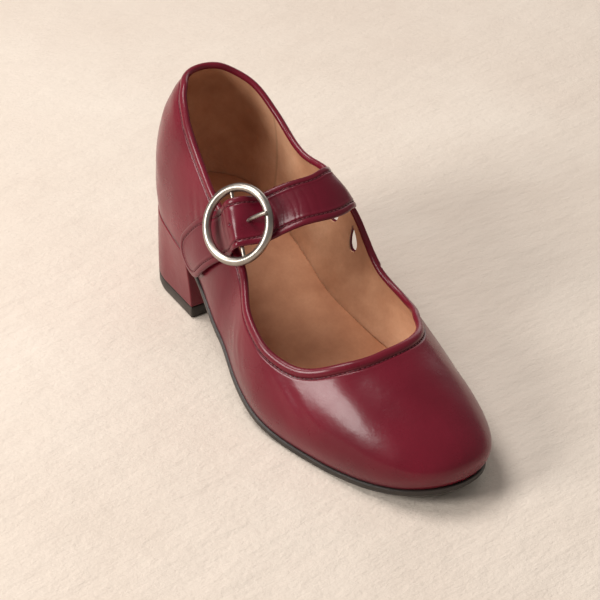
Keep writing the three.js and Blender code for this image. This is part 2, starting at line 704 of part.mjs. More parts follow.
// The quarter below a stretch of the topline, grown by the clearance. It cuts what ends at the topline.
function toplineCutter(from, to) {
  const depth = WALL + BEAD + 3;
  const sections = Array.from({ length: 41 }, (_, i) => {
    const ring = lerp(from, to, i / 40);
    const [, low, high] = risesAt(ring, 1, [3 * BEAD_WIDTH, -1.5 * GAP]);
    const at = (rise, out) => lastPoint(ring, rise).addScaledVector(lastNormal(ring, rise), out);
    return [at(low, -depth), at(low, depth), at(high, depth), at(high, -depth)];
  });
  const middleOf = (loop) => {
    const centre = loop.reduce((sum, v) => sum.add(v), new THREE.Vector3()).divideScalar(loop.length);
    return loop.map(() => centre.clone());
  };
  return toSolid(loft([middleOf(sections[0]), ...sections, middleOf(sections[40])]));
}

function makeStrap() {
  const line = (t) => {
    const distance = t < 0.75 ? lerp(GAP, strapAt.length - TIP_RADIUS, t / 0.75)
      : strapAt.length - TIP_RADIUS * (1 - sin((t - 0.75) / 0.25 * PI / 2));
    const left = clamp(1 - (strapAt.length - distance) / TIP_RADIUS, 0, 1);
    const half = STRAP_WIDTH / 2 * sqrt(max(1 - left * left, 0.03));
    return { ...strapAt.at(distance), half };
  };
  const solid = toSolid(strip(line, STRAP, 40, 6, 0.12));
  const hole = toSolid(sweepProng(PRONG_STOCK / 2 + GAP, GAP, 5, 12));
  return toGeometry(solid.subtract(hole).subtract(toplineCutter(0.36, 0.52)));
}

// The tab comes out of the lateral quarter between leather and lining, and hooks under the bar.
function makeTab() {
  const under = BAR_HEIGHT - BAR_STOCK / 2 - 1.5 * GAP - TAB;
  const inWall = -(WALL + TAB) / 2;
  const reach = RING_RADIUS * 0.9;
  const line = (t) => {
    const distance = lerp(-BAR_STOCK / 2, reach, t);
    return { ...strapAt.at(strapAt.bar + distance), rise: lerp(under, inWall, smooth(t, 0.1, 0.5)), half: TAB_WIDTH / 2 };
  };
  const whole = toSolid(strip(line, TAB, 14, 4, 0));
  return toGeometry(whole.subtract(toplineCutter(-0.34, -0.54)));
}

const LEATHER = { color: 0x7a2733, roughness: 0.36, metalness: 0 };
const LEATHER_SHADE = { color: 0x74242f, roughness: 0.38, metalness: 0 };
const LINING = { color: 0xae7d5a, roughness: 0.62, metalness: 0 };
const BLACK = { color: 0x2a2320, roughness: 0.6, metalness: 0 };
const NICKEL = { color: 0xc9c4bb, roughness: 0.16, metalness: 1 };

const PIECES = [
  { name: 'upper', make: makeUpper, look: LEATHER },
  { name: 'strap', make: makeStrap, look: LEATHER },
  { name: 'buckle_tab', make: makeTab, look: LEATHER },
  { name: 'buckle_ring', make: makeRing, look: NICKEL },
  { name: 'buckle_prong', make: makeProng, look: NICKEL },
  { name: 'insole', make: makeInsole, look: LINING },
  { name: 'outsole', make: makeOutsole, look: BLACK },
  { name: 'heel_block', make: makeHeelBlock, look: LEATHER_SHADE },
  { name: 'heel_top_piece', make: makeTopPiece, look: BLACK },
];

const shoe = new THREE.Group();
PIECES.forEach(({ name, make, look }) => {
  const geometry = make();
  geometry.computeVertexNormals();
  const mesh = new THREE.Mesh(geometry, new THREE.MeshStandardMaterial(look));
  mesh.name = name;
  shoe.add(mesh);
});

// The origin goes under the middle of the whole shoe.
const box = new THREE.Box3().setFromObject(shoe);
const centre = box.getCenter(new THREE.Vector3());
shoe.position.set(-centre.x, -centre.y, -box.min.z);

export default shoe;
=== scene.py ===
import math

import bmesh
import bpy
import numpy as np
from mathutils import Matrix, Vector


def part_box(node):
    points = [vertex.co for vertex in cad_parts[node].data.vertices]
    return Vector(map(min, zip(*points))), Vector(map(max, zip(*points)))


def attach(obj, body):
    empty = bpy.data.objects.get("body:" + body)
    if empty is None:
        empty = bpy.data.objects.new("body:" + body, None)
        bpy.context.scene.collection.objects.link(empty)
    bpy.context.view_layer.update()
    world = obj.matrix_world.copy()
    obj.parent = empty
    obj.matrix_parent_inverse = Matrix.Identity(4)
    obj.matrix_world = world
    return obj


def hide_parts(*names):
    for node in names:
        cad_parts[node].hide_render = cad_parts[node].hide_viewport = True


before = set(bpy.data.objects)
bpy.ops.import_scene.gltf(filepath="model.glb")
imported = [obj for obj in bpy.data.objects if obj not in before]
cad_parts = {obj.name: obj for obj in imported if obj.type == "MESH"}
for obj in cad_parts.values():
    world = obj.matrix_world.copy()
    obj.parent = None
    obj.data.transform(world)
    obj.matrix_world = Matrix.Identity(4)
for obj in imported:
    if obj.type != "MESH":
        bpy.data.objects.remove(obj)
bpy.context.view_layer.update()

# A right mary jane shoe in smooth burgundy leather. Lengths are in millimetres until a mesh is made,
# and the last's own axes are those of the solids: the toe points to -Y and the medial side is +X.
MM = 0.001

# Last
LENGTH = 243
BALL_WIDTH = 89
SEAT_WIDTH = 62
HEEL_RADIUS = 26
TOE_RADIUS = 37
SEAT_HEIGHT = 48
TOE_SPRING = 8.8
INSTEP = 72
LEAN = 10
RIDGE_BACK = 45
RIDGE_FRONT = 138

# Throat: how far its front and its sides lie from the ridge's front end
THROAT_FRONT = 46.5
THROAT_LATERAL = 37.5
THROAT_MEDIAL = 36.5
LATERAL_ROUNDING = 1.95
MEDIAL_ROUNDING = 3.0

# Thicknesses and clearance
WALL = 2.0
LEATHER = 1.15
SOLE = 3.7
INSOLE = 2.2
GAP = 0.3
BEAD = 1.2
RING_ROOM = 2.5

# Heel
BREAST = 57
HEEL_FOOT_WIDTH = 55
HEEL_FOOT_BACK = 1.5
TOP_PIECE = 6.5

# Strap and buckle
STRAP_WIDTH = 24
STRAP = 1.8
TIP_RADIUS = 13
RING_DIAMETER = 39
RING_STOCK = 4.2
BAR_STOCK = 1.8
PRONG_STOCK = 2.0
BUCKLE_TURN = -0.572
INSTEP_CURVE = 45

# Thread
STITCH = 1.7
STITCH_PITCH = 2.3
THREAD = 0.5

# The top piece's back edge lies HEEL_FOOT_BACK before the last's back, and its middle on the last's axis.
foot_low, foot_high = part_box("heel_top_piece")
ORIGIN = np.array([
    (foot_low.x + foot_high.x) / 2 / MM,
    foot_high.y / MM + HEEL_FOOT_BACK,
    foot_low.z / MM,
])


def table(columns, *rows):
    """A table's columns by name."""
    return dict(zip(columns.split(), np.array(rows, float).T))


# Half widths of the plan outline, as shares of the width there
OUTLINE = table(
    "along lateral medial",
    (0.000, 0.000, 0.000),
    (0.090, 0.435, 0.460),
    (0.180, 0.500, 0.505),
    (0.300, 0.508, 0.461),
    (0.420, 0.492, 0.384),
    (0.520, 0.499, 0.408),
    (0.610, 0.511, 0.478),
    (0.700, 0.466, 0.511),
    (0.800, 0.388, 0.483),
    (0.885, 0.298, 0.429),
    (0.953, 0.180, 0.343),
    (1.000, -0.101, 0.101),
)

# The feather line's height: a share of the seat's rise and a share of the toe spring
FEATHER = table(
    "along seat toe",
    (0.000, 1.000, 0.000),
    (0.103, 0.961, 0.000),
    (0.226, 0.841, 0.000),
    (0.329, 0.659, 0.000),
    (0.432, 0.420, 0.000),
    (0.535, 0.196, 0.000),
    (0.605, 0.068, 0.000),
    (0.655, 0.015, 0.000),
    (0.695, 0.000, 0.000),
    (0.775, 0.000, 0.000),
    (0.844, 0.000, 0.160),
    (0.926, 0.000, 0.520),
    (1.000, 0.000, 1.000),
)

# The ridge's height over the feather line, as a share of INSTEP, and its lean to the medial side, of LEAN
RIDGE = table(
    "along height lean",
    (0.000, 1.110, 0.40),
    (0.165, 1.110, 0.60),
    (0.288, 1.090, 0.90),
    (0.370, 1.055, 1.60),
    (0.453, 1.015, 1.80),
    (0.535, 0.950, 1.00),
    (0.617, 0.861, 0.40),
    (0.691, 0.750, 0.30),
    (0.761, 0.653, 0.20),
    (0.844, 0.555, 0.12),
    (0.926, 0.450, 0.05),
    (1.000, 0.335, 0.00),
)

# Shape of a section. station runs from the heel (0) to the toe (1) round either side.
SECTION = table(
    "station widest tuck power crown",
    (0.00, 0.28, 0.950, 2.6, 0.00),
    (0.15, 0.28, 0.950, 2.6, 0.00),
    (0.30, 0.27, 0.950, 2.4, 0.00),
    (0.50, 0.26, 0.940, 2.1, 0.05),
    (0.60, 0.25, 0.940, 2.3, 0.15),
    (0.68, 0.26, 0.940, 3.2, 0.30),
    (0.80, 0.28, 0.960, 4.6, 0.30),
    (1.00, 0.34, 0.975, 5.2, 0.20),
)

# The topline, as a share of the turn from the widest line (0) to the ridge (1)
TOPLINE = table(
    "station lateral medial",
    (0.000, 0.660, 0.660),
    (0.080, 0.660, 0.650),
    (0.165, 0.665, 0.560),
    (0.240, 0.590, 0.470),
    (0.290, 0.500, 0.390),
    (0.335, 0.405, 0.340),
    (0.370, 0.350, 0.360),
    (0.390, 0.335, 0.400),
    (0.404, 0.328, 0.440),
    (0.418, 0.320, 0.490),
    (0.464, 0.295, 0.490),
    (0.470, 0.290, 0.445),
    (0.477, 0.285, 0.365),
    (0.485, 0.280, 0.290),
    (0.500, 0.275, 0.240),
    (0.525, 0.290, 0.240),
    (0.550, 0.328, 0.285),
    (0.590, 0.375, 0.375),
    (0.630, 0.455, 0.465),
    (0.685, 0.620, 0.600),
)

# The strap goes under both sides of the ring and over its bar.
RING_RADIUS = (RING_DIAMETER - RING_STOCK) / 2
UNDER_RING = math.sqrt((RING_RADIUS - RING_STOCK / 2) ** 2 - (STRAP_WIDTH / 2) ** 2)
SAG = UNDER_RING ** 2 / (2 * INSTEP_CURVE)
SIDE_RISE = BEAD + GAP
BAR_HEIGHT = SIDE_RISE + STRAP + GAP + RING_ROOM + RING_STOCK / 2 - SAG
ROOT = -WALL
OVER_INSTEP = 0.5
OVER_BAR = BAR_HEIGHT + BAR_STOCK / 2 + 3 * GAP

# The strap's centre line: turn from the ridge, share of LENGTH, and height of its inner face over the last
STRAP_LINE = table(
    "turn along rise",
    (0.600, 0.400, ROOT),
    (0.400, 0.431, ROOT),
    (0.200, 0.458, OVER_INSTEP),
    (0.000, 0.472, OVER_INSTEP),
    (-0.400, 0.444, SIDE_RISE),
    (-0.572, 0.412, OVER_BAR),
    (-0.740, 0.375, SIDE_RISE),
    (-0.960, 0.320, SIDE_RISE),
    (-1.220, 0.259, SIDE_RISE),
)

# Cut-outs of the medial quarter: station and rise of the round end and of the tip, and the half width
PETALS = [
    {"round": (0.391, 0.235), "tip": (0.426, 0.365), "width": 4.6},
    {"round": (0.420, 0.120), "tip": (0.439, 0.305), "width": 4.6},
    {"round": (0.466, 0.100), "tip": (0.463, 0.290), "width": 3.6},
]

# Distances from a cut-out's outline to the middle of its turned edge, its pressed line and its stitches
RIM_PLACE = 0.25
PETAL_LINE = 2.4
PETAL_STITCHES = 2.2
RIM_WIDTH = 1.24
RIM_HEIGHT = 1.0

# The rolled edge: distance from the topline and height over the last, outside, then over the edge and inside
ROLL_OUTSIDE = table(
    "distance rise",
    (9.00, 0.00),
    (7.40, 0.00),
    (6.40, 0.03),
    (5.80, 0.04),
    (5.40, -0.05),
    (5.10, -0.30),
    (4.80, -0.44),
    (4.50, -0.36),
    (4.25, 0.02),
    (4.00, 0.42),
    (3.60, 0.78),
    (3.10, 1.02),
    (2.50, 1.16),
    (1.90, 1.20),
    (1.30, 1.12),
    (0.80, 0.90),
    (0.40, 0.60),
    (0.12, 0.20),
    (0.00, -0.30),
)
ROLL_INSIDE = table(
    "distance rise",
    (0.05, -0.90),
    (0.30, -1.45),
    (0.80, -1.88),
    (1.50, -2.12),
    (2.00, -2.16),
    (2.15, -1.95),
    (2.20, -1.30),
)
ROLL_GROOVE = 4.8

# Stations of the strap's root: the rolled edge goes flat and rises again in these, and the stitches stop
ROLL_ENDS = (0.412, 0.424)
ROLL_STARTS = (0.458, 0.469)
STITCHES_END = 0.409
STITCHES_START = 0.476

# Soft troughs of the worn-in leather, by ring and rise of both ends. bow bends one sideways, in rise.
CREASES = table(
    "ring_a rise_a ring_b rise_b bow width depth",
    (-0.050, 0.42, -0.250, 0.36, 0.03, 3.6, 0.22),
    (-0.120, 0.10, -0.260, -0.25, 0.02, 4.0, 0.20),
    (-0.330, 0.26, -0.365, -0.10, 0.02, 1.6, 0.14),
    (-0.350, 0.24, -0.385, -0.05, 0.02, 1.2, 0.12),
    (-0.498, 0.16, -0.530, -0.25, 0.02, 2.0, 0.10),
    (-0.512, 0.18, -0.548, -0.12, 0.02, 1.8, 0.08),
    (-0.486, 0.12, -0.505, -0.30, -0.02, 1.8, 0.08),
    (-0.575, 0.26, -0.650, 0.02, 0.05, 2.2, 0.16),
    (-0.610, 0.32, -0.690, 0.08, 0.05, 2.0, 0.14),
    (0.270, 0.20, 0.345, -0.20, 0.02, 2.6, 0.24),
    (0.300, 0.22, 0.372, -0.10, 0.03, 2.2, 0.22),
    (0.215, 0.32, 0.300, -0.05, 0.03, 3.2, 0.22),
    (0.590, 0.30, 0.660, -0.10, 0.03, 2.4, 0.18),
    (0.625, 0.40, 0.700, 0.02, 0.03, 2.2, 0.16),
)

# Height of the soft bank beside a trough, as a share of its depth
BANK = 0.45

# Fine creases across the strap: distance on the medial side of the bar, slant, width and depth
STRAP_CREASES = table(
    "before slant width depth",
    (18.5, 0.10, 0.5, 0.10),
    (21.0, -0.05, 0.4, 0.08),
    (23.0, 0.08, 0.5, 0.12),
    (25.5, 0.03, 0.4, 0.10),
    (28.5, -0.06, 0.6, 0.11),
    (31.5, 0.10, 0.5, 0.08),
    (35.5, -0.04, 0.7, 0.08),
    (40.0, 0.05, 0.8, 0.07),
)

# The seam that joins the vamp and the quarter on the medial side: station at the feather and at the topline
SEAM_LOW = 0.487
SEAM_TOP = 0.512
SEAM_WIDTH = 0.9
SEAM_STEP = 0.35

# Where the lining's upright seams are, by ring
LINING_SEAMS = (0.285, -0.285)

# Distance round the shoe's side for each unit of ring
ROUND_SIDE = 1.5 * LENGTH

# The stay over the back seam
STAY_WIDTH = 9
STAY_HEIGHT = 16
STAY = 0.55


def smooth(x, a, b):
    t = np.clip((x - a) / (b - a), 0, 1)
    return t * t * (3 - 2 * t)


def lerp(a, b, t):
    return a + (b - a) * t


def bell(x, width):
    return np.exp(-(x / width) ** 2)


def circle(count):
    """Even angles round a circle."""
    return np.linspace(0, 2 * math.pi, count, endpoint=False)


def quarter_round(x):
    """Rises from 0 to 1 as a quarter of a circle does."""
    return np.sqrt(1 - (1 - np.clip(x, 0, 1)) ** 2)


def unit(v):
    return v / np.maximum(np.linalg.norm(v, axis=-1, keepdims=True), 1e-9)


def spline(xs, ys):
    """A curve through table rows that doesn't overshoot between them."""
    h = np.diff(xs)
    d = np.diff(ys) / h
    slope = np.zeros(len(xs))
    slope[0] = d[0]
    slope[-1] = d[-1]
    for i in range(1, len(xs) - 1):
        if d[i - 1] * d[i] > 0:
            low = (h[i - 1] / 3 + 2 * h[i] / 3) / d[i]
            high = (2 * h[i - 1] / 3 + h[i] / 3) / d[i - 1]
            slope[i] = (h[i - 1] + h[i]) / (low + high)

    def curve(x):
        x = np.asarray(x, float)
        inside = np.clip(x, xs[0], xs[-1])
        i = np.clip(np.searchsorted(xs, inside) - 1, 0, len(xs) - 2)
        t = (inside - xs[i]) / h[i]
        value = (2 * t ** 3 - 3 * t ** 2 + 1) * ys[i] + (t ** 3 - 2 * t ** 2 + t) * h[i] * slope[i]
        value = value + (3 * t ** 2 - 2 * t ** 3) * ys[i + 1] + (t ** 3 - t ** 2) * h[i] * slope[i + 1]
        return value + slope[0] * np.minimum(x - xs[0], 0) + slope[-1] * np.maximum(x - xs[-1], 0)

    return curve


def station_of(share):
    return np.arccos(1 - 2 * np.clip(share, 0, 1)) / math.pi


seat_share = spline(FEATHER["along"], FEATHER["seat"])
toe_share = spline(FEATHER["along"], FEATHER["toe"])
ridge_share = spline(RIDGE["along"], RIDGE["height"])
lean_share = spline(RIDGE["along"], RIDGE["lean"])
section = {name: spline(SECTION["station"], SECTION[name]) for name in ("widest", "tuck", "power", "crown")}


def softened(curve, reach):
    """The mean of a curve over a short stretch."""
    taps = ((-1, 0.1), (-0.5, 0.2), (0, 0.4), (0.5, 0.2), (1, 0.1))
    return lambda x: sum(weight * curve(abs(x + step * reach)) for step, weight in taps)


lateral_top = softened(spline(TOPLINE["station"], TOPLINE["lateral"]), 0.024)
medial_top = softened(spline(TOPLINE["station"], TOPLINE["medial"]), 0.024)

outline_width = lerp(SEAT_WIDTH, BALL_WIDTH, smooth(OUTLINE["along"], 0.25, 0.55))
middle = spline(OUTLINE["along"], (OUTLINE["medial"] - OUTLINE["lateral"]) / 2 * outline_width)
outline_station = station_of(OUTLINE["along"])
outline_half = (OUTLINE["medial"] + OUTLINE["lateral"]) / 2 * outline_width
outline_bulge = outline_half / np.maximum(np.sin(math.pi * outline_station), 1e-9)
outline_bulge[0] = math.sqrt(HEEL_RADIUS * LENGTH / 2)
outline_bulge[-1] = math.sqrt(TOE_RADIUS * LENGTH / 2)
bulge = spline(outline_station, outline_bulge)


def feather(u):
    tread_top = SOLE + GAP
    return tread_top + seat_share(u / LENGTH) * (SEAT_HEIGHT - tread_top) + toe_share(u / LENGTH) * TOE_SPRING


def ridge(u):
    return feather(u) + ridge_share(u / LENGTH) * INSTEP


def throat_rise(ring):
    """Where the throat's front, a rounded oval seen from above, crosses each station."""
    station = abs(ring)
    share = (1 - np.cos(math.pi * station)) / 2
    side = np.where(ring < 0, -1.0, 1.0)
    off = middle(share) + side * bulge(station) * np.sin(math.pi * station) - middle(RIDGE_FRONT / LENGTH)
    ahead = np.maximum(share * LENGTH - RIDGE_FRONT, 0)
    width = np.where(off < 0, THROAT_LATERAL, THROAT_MEDIAL)
    power = np.where(off < 0, LATERAL_ROUNDING, MEDIAL_ROUNDING)
    s = ((abs(off) / width) ** power + (ahead / THROAT_FRONT) ** power) ** (-1 / power)
    return np.arccos(np.clip(s, 0, 1) ** (section["power"](station) / 2)) * 2 / math.pi


def topline_rise(ring):
    ring = np.asarray(ring, float)
    collar = np.where(ring < 0, lateral_top(abs(ring)), medial_top(abs(ring)))
    return lerp(collar, throat_rise(ring), smooth(abs(ring), 0.58, 0.66))


def last_point(ring, rise):
    """Points of the last. ring runs 0 heel, 1 toe on the medial side and -1 toe on the lateral side;
    rise is -1 at the feather line, 0 at the widest line and 1 on the ridge."""
    ring, rise = np.broadcast_arrays(np.asarray(ring, float), np.asarray(rise, float))
    wrapped = np.where(ring > 1, ring - 2, np.where(ring < -1, ring + 2, ring))
    side = np.where(wrapped < 0, -1.0, 1.0)
    station = abs(wrapped)
    share = (1 - np.cos(math.pi * station)) / 2
    u = share * LENGTH
    edge = middle(share) + side * bulge(station) * np.sin(math.pi * station)
    turn = np.maximum(rise, 0) * math.pi / 2
    above = np.maximum(np.cos(turn), 0) ** (2 / section["power"](station))
    below = 1 - (1 - section["tuck"](station)) * rise * rise
    s = np.where(rise > 0, above, below)
    ridge_u = np.clip(u, RIDGE_BACK, RIDGE_FRONT)
    ridge_x = middle(ridge_u / LENGTH)
    along = ridge_u + s * (u - ridge_u)
    across = ridge_x + s * (edge - ridge_x)
    here = station_of(along / LENGTH)
    off = (across - middle(along / LENGTH)) / np.maximum(bulge(here) * np.sin(math.pi * here), 1)
    widest = section["widest"](station)
    high = widest + (1 - widest) * np.sin(turn) * (1 - section["crown"](station) * off * off)
    height = np.where(rise > 0, high, widest * (1 + rise))
    across = across + lean_share(along / LENGTH) * LEAN * height
    return np.stack([across, -along, feather(along) + height * (ridge(along) - feather(along))], -1)


def last_normal(ring, rise):
    e = 0.002
    a = last_point(ring + e, rise) - last_point(ring - e, rise)
    b = last_point(ring, rise + e) - last_point(ring, rise - e)
    return unit(np.cross(b, a))


def instep_coordinates(u, turn):
    """ring and rise of a point over the instep: turn is 0 on the ridge and 1 on the medial widest line."""
    ring = np.where(turn < 0, -1.0, 1.0) * station_of(u / LENGTH)
    widest = section["widest"](abs(ring))
    rise = 1 - abs(turn)
    return ring, np.where(rise < 0, rise * (1 - widest) * math.pi / 2 / widest, rise)


def instep_point(u, turn):
    return last_point(*instep_coordinates(u, turn))


def instep_normal(u, turn):
    a = instep_point(u + 1, turn) - instep_point(u - 1, turn)
    b = instep_point(u, turn + 0.01) - instep_point(u, turn - 0.01)
    return unit(np.cross(a, b))


def lengths_along(points):
    steps = np.linalg.norm(np.diff(points, axis=-2), axis=-1)
    return np.concatenate([np.zeros_like(steps[..., :1]), np.cumsum(steps, -1)], -1)


def ring_stations(per_side):
    """Stations round the last, closer together near the strap's root and the cut-outs."""
    p = np.linspace(0, 1, 401)
    density = 1 + 2.2 * bell(p - 0.45, 0.06)
    total = np.concatenate([[0], np.cumsum((density[1:] + density[:-1]) / 2)])
    stations = np.interp(np.linspace(0, total[-1], per_side + 1), total, p)
    return np.concatenate([stations, -stations[1:-1][::-1]])


def rises_at(rings, body_rows, edge_distances):
    """Rises up each station: evenly spaced in the body, then at set distances from the topline."""
    top = topline_rise(rings)
    rises = lerp(-1.0, top[:, None], np.linspace(0, 1, 71))
    points = last_point(rings[:, None], rises)
    lengths = lengths_along(points)
    full = lengths[:, -1]
    side = np.where(rings < 0, -1, 1)
    before = side * np.clip(abs(rings) - 0.004, 0, 1)
    after = side * np.clip(abs(rings) + 0.004, 0, 1)
    along = unit(last_point(after, topline_rise(after)) - last_point(before, topline_rise(before)))
    ray = unit(points[:, -1] - points[:, -4])
    slant = np.clip(np.linalg.norm(np.cross(along, ray), axis=-1), 0.3, 1)
    body = (full - edge_distances[0] / slant)[:, None] * np.arange(body_rows) / max(body_rows, 1)
    edge = full[:, None] - np.asarray(edge_distances) / slant[:, None]
    wanted = np.concatenate([body, edge], 1)
    return np.array([np.interp(w, length, rise) for w, length, rise in zip(wanted, lengths, rises)])


def foot_point(ring, inset):
    out = last_normal(ring, -1.0)
    out[..., 2] = 0
    return last_point(ring, -1.0) - unit(out) * inset


# Meshes

def weld(mesh):
    """Joins points that fall together and turns the faces out."""
    shape = bmesh.new()
    shape.from_mesh(mesh)
    bmesh.ops.remove_doubles(shape, verts=shape.verts, dist=1e-7)
    bmesh.ops.dissolve_degenerate(shape, edges=shape.edges, dist=1e-8)
    bmesh.ops.recalc_face_normals(shape, faces=shape.faces)
    shape.to_mesh(mesh)
    shape.free()


def shade(mesh, angle=None):
    mesh.polygons.foreach_set("use_smooth", np.ones(len(mesh.polygons), bool))
    if angle is not None:
        mesh.set_sharp_from_angle(angle=math.radians(angle))


def make_piece(name, points, faces, material, sharp=None, **attributes):
    """A mesh object from points in the last's axes, with number attributes for its material."""
    mesh = bpy.data.meshes.new(name)
    mesh.from_pydata((points + ORIGIN) * MM, [], faces)
    for key, values in attributes.items():
        mesh.attributes.new(key, "FLOAT", "POINT").data.foreach_set("value", np.asarray(values, np.float32))
    weld(mesh)
    shade(mesh, sharp)
    mesh.materials.append(material)
    piece = bpy.data.objects.new(name, mesh)
    bpy.context.scene.collection.objects.link(piece)
    return piece


def grid_faces(rows, columns, closed_rows=False, closed_columns=False):
    """Faces of a grid of rows times columns points."""
    j = np.arange(rows if closed_rows else rows - 1)[:, None]
    i = np.arange(columns if closed_columns else columns - 1)[None, :]
    low = j * columns
    high = (j + 1) % rows * columns
    near = i % columns
    far = (i + 1) % columns
    return np.stack([low + near, low + far, high + far, high + near], -1).reshape(-1, 4).tolist()


def loft(name, loops, material, sharp=None, capped=True, **attributes):
    """A closed body through loops of equal length. Capped ends run to their middles."""
    loops = np.asarray(loops, float)
    if capped:
        first = np.broadcast_to(loops[0].mean(0), loops[0].shape)
        last = np.broadcast_to(loops[-1].mean(0), loops[-1].shape)
        loops = np.concatenate([[first], loops, [last]])
    rows, columns = loops.shape[:2]
    faces = grid_faces(rows, columns, closed_rows=not capped, closed_columns=True)
    return make_piece(name, loops.reshape(-1, 3), faces, material, sharp, **attributes)


def with_modifier(piece, kind, **settings):
    """Makes a modifier's result the piece's own mesh."""
    modifier = piece.modifiers.new(kind, kind)
    for key, value in settings.items():
        setattr(modifier, key, value)
    graph = bpy.context.evaluated_depsgraph_get()
    shaped = bpy.data.meshes.new_from_object(piece.evaluated_get(graph))
    piece.modifiers.clear()
    old = piece.data
    piece.data = shaped
    bpy.data.meshes.remove(old)


def bevel(piece, width, segments):
    """Rounds the piece's sharp edges."""
    limit = {"limit_method": "ANGLE", "angle_limit": math.radians(40)}
    with_modifier(piece, "BEVEL", width=width * MM, segments=segments, **limit)


def finish_piece(piece, slot, *nodes):
    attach(piece, "root")
    if nodes:
        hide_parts(*nodes)


# Materials

class Nodes:
    """Short calls for a material's nodes."""

    def __init__(self, name):
        self.material = bpy.data.materials.new(name)
        self.material.use_nodes = True
        self.tree = self.material.node_tree
        self.shader = self.tree.nodes["Principled BSDF"]
        self.place = self.add("ShaderNodeTexCoord").outputs["Object"]

    def fill(self, socket, value):
        """Links another node's output to a socket, or gives it a constant."""
        if isinstance(value, bpy.types.NodeSocket):
            self.tree.links.new(value, socket)
        else:
            socket.default_value = (*value, 1) if socket.type == "RGBA" else value

    def add(self, kind, inputs=None, **settings):
        node = self.tree.nodes.new(kind)
        for key, value in settings.items():
            setattr(node, key, value)
        for key, value in (inputs or {}).items():
            self.fill(node.inputs[key], value)
        return node

    def noise(self, scale, detail=3, roughness=0.5, stretch=None):
        place = self.place
        if stretch:
            place = self.add("ShaderNodeMapping", {"Vector": place, "Scale": stretch}).outputs["Vector"]
        inputs = {"Vector": place, "Scale": scale, "Detail": detail, "Roughness": roughness}
        return self.add("ShaderNodeTexNoise", inputs).outputs["Fac"]

    def cells(self, scale):
        return self.add("ShaderNodeTexVoronoi", {"Vector": self.place, "Scale": scale}).outputs["Distance"]

    def ramp(self, value, *stops):
        node = self.add("ShaderNodeValToRGB", {"Fac": value})
        elements = node.color_ramp.elements
        while len(elements) < len(stops):
            elements.new(0.5)
        for element, (position, colour) in zip(elements, stops):
            element.position = position
            element.color = (*colour, 1)
        return node.outputs["Color"]

    def spread(self, value, low, high, to_low, to_high):
        inputs = {"Value": value, "From Min": low, "From Max": high, "To Min": to_low, "To Max": to_high}
        return self.add("ShaderNodeMapRange", inputs).outputs["Result"]

    def mix(self, share, a, b):
        return self.add("ShaderNodeMix", {0: share, 6: a, 7: b}, data_type="RGBA").outputs[2]

    def attribute(self, name):
        return self.add("ShaderNodeAttribute", attribute_name=name).outputs["Fac"]

    def bump(self, *layers):
        """Each layer is a height and its depth in metres."""
        normal = None
        for height, depth in layers:
            inputs = {"Height": height, "Distance": depth, "Strength": 1.0}
            if normal is not None:
                inputs["Normal"] = normal
            normal = self.add("ShaderNodeBump", inputs).outputs["Normal"]
        self.tree.links.new(normal, self.shader.inputs["Normal"])

    def set(self, **values):
        for key, value in values.items():
            self.fill(self.shader.inputs[key.replace("_", " ")], value)
        return self.material


def colour(red, green, blue):
    """A linear colour from display values between 0 and 255."""
    def linear(value):
        share = value / 255
        return share / 12.92 if share <= 0.04045 else ((share + 0.055) / 1.055) ** 2.4
    return linear(red), linear(green), linear(blue)


def make_leather(name, dark, mid, light, roughness, pore):
    """Polished calf: cloudy colour, with painted shade in its grooves, fine pores and faint wrinkles."""
    n = Nodes(name)
    cloud = n.noise(22, detail=3, roughness=0.45)
    base = n.ramp(cloud, (0.25, dark), (0.50, mid), (0.80, light))
    fleck = n.spread(n.noise(900, detail=2), 0.35, 0.75, 0.0, 0.16)
    base = n.mix(fleck, base, dark)
    # Painted shade: the groove attribute darkens the colour in pressed grooves, the spare hole and along the
    # foot of the upper.
    base = n.mix(n.attribute("groove"), base, colour(46, 8, 16))
    gloss = n.spread(n.noise(60, detail=5, roughness=0.6), 0.3, 0.7, roughness - 0.04, roughness + 0.05)
    pores = n.spread(n.cells(1500), 0.0, 0.45, 0.0, 1.0)
    n.bump(
        (n.noise(110, detail=3), 0.00022),
        (n.noise(420, detail=4, roughness=0.6), pore * 1.6),
        (pores, pore),
    )
    n.set(Specular_IOR_Level=0.22, Coat_Weight=0.22, Coat_Roughness=0.15)
    return n.set(Base_Color=base, Roughness=gloss)


def make_lining(name, dark, mid, light):
    """Soft unpolished lining leather, with painted shade in its seam grooves."""
    n = Nodes(name)
    base = n.ramp(n.noise(34, detail=5, roughness=0.6), (0.30, dark), (0.52, mid), (0.72, light))
    base = n.mix(n.spread(n.noise(700, detail=3), 0.4, 0.8, 0.0, 0.25), base, dark)
    # Painted shade: the groove attribute darkens the colour in the lining's seam grooves.
    base = n.mix(n.attribute("groove"), base, tuple(0.35 * c for c in dark))
    gloss = n.spread(n.noise(90, detail=4), 0.3, 0.7, 0.50, 0.66)
    n.bump((n.noise(70, detail=4), 0.0004), (n.noise(900, detail=4, roughness=0.65), 0.00006))
    return n.set(Base_Color=base, Roughness=gloss)


def make_thread():
    n = Nodes("thread")
    base = n.ramp(n.noise(1400, detail=2), (0.35, colour(84, 26, 34)), (0.7, colour(128, 54, 62)))
    n.bump((n.noise(5200, detail=1, stretch=(1, 1, 3)), 0.00006))
    return n.set(Base_Color=base, Roughness=0.55)


def make_nickel():
    n = Nodes("nickel")
    base = n.ramp(n.noise(120, detail=4), (0.35, colour(150, 144, 136)), (0.65, colour(180, 173, 165)))
    gloss = n.spread(n.noise(260, detail=6, roughness=0.7), 0.3, 0.75, 0.30, 0.42)
    n.bump((n.noise(1600, detail=3, stretch=(1, 6, 1)), 0.000012))
    return n.set(Base_Color=base, Roughness=gloss, Metallic=1.0)


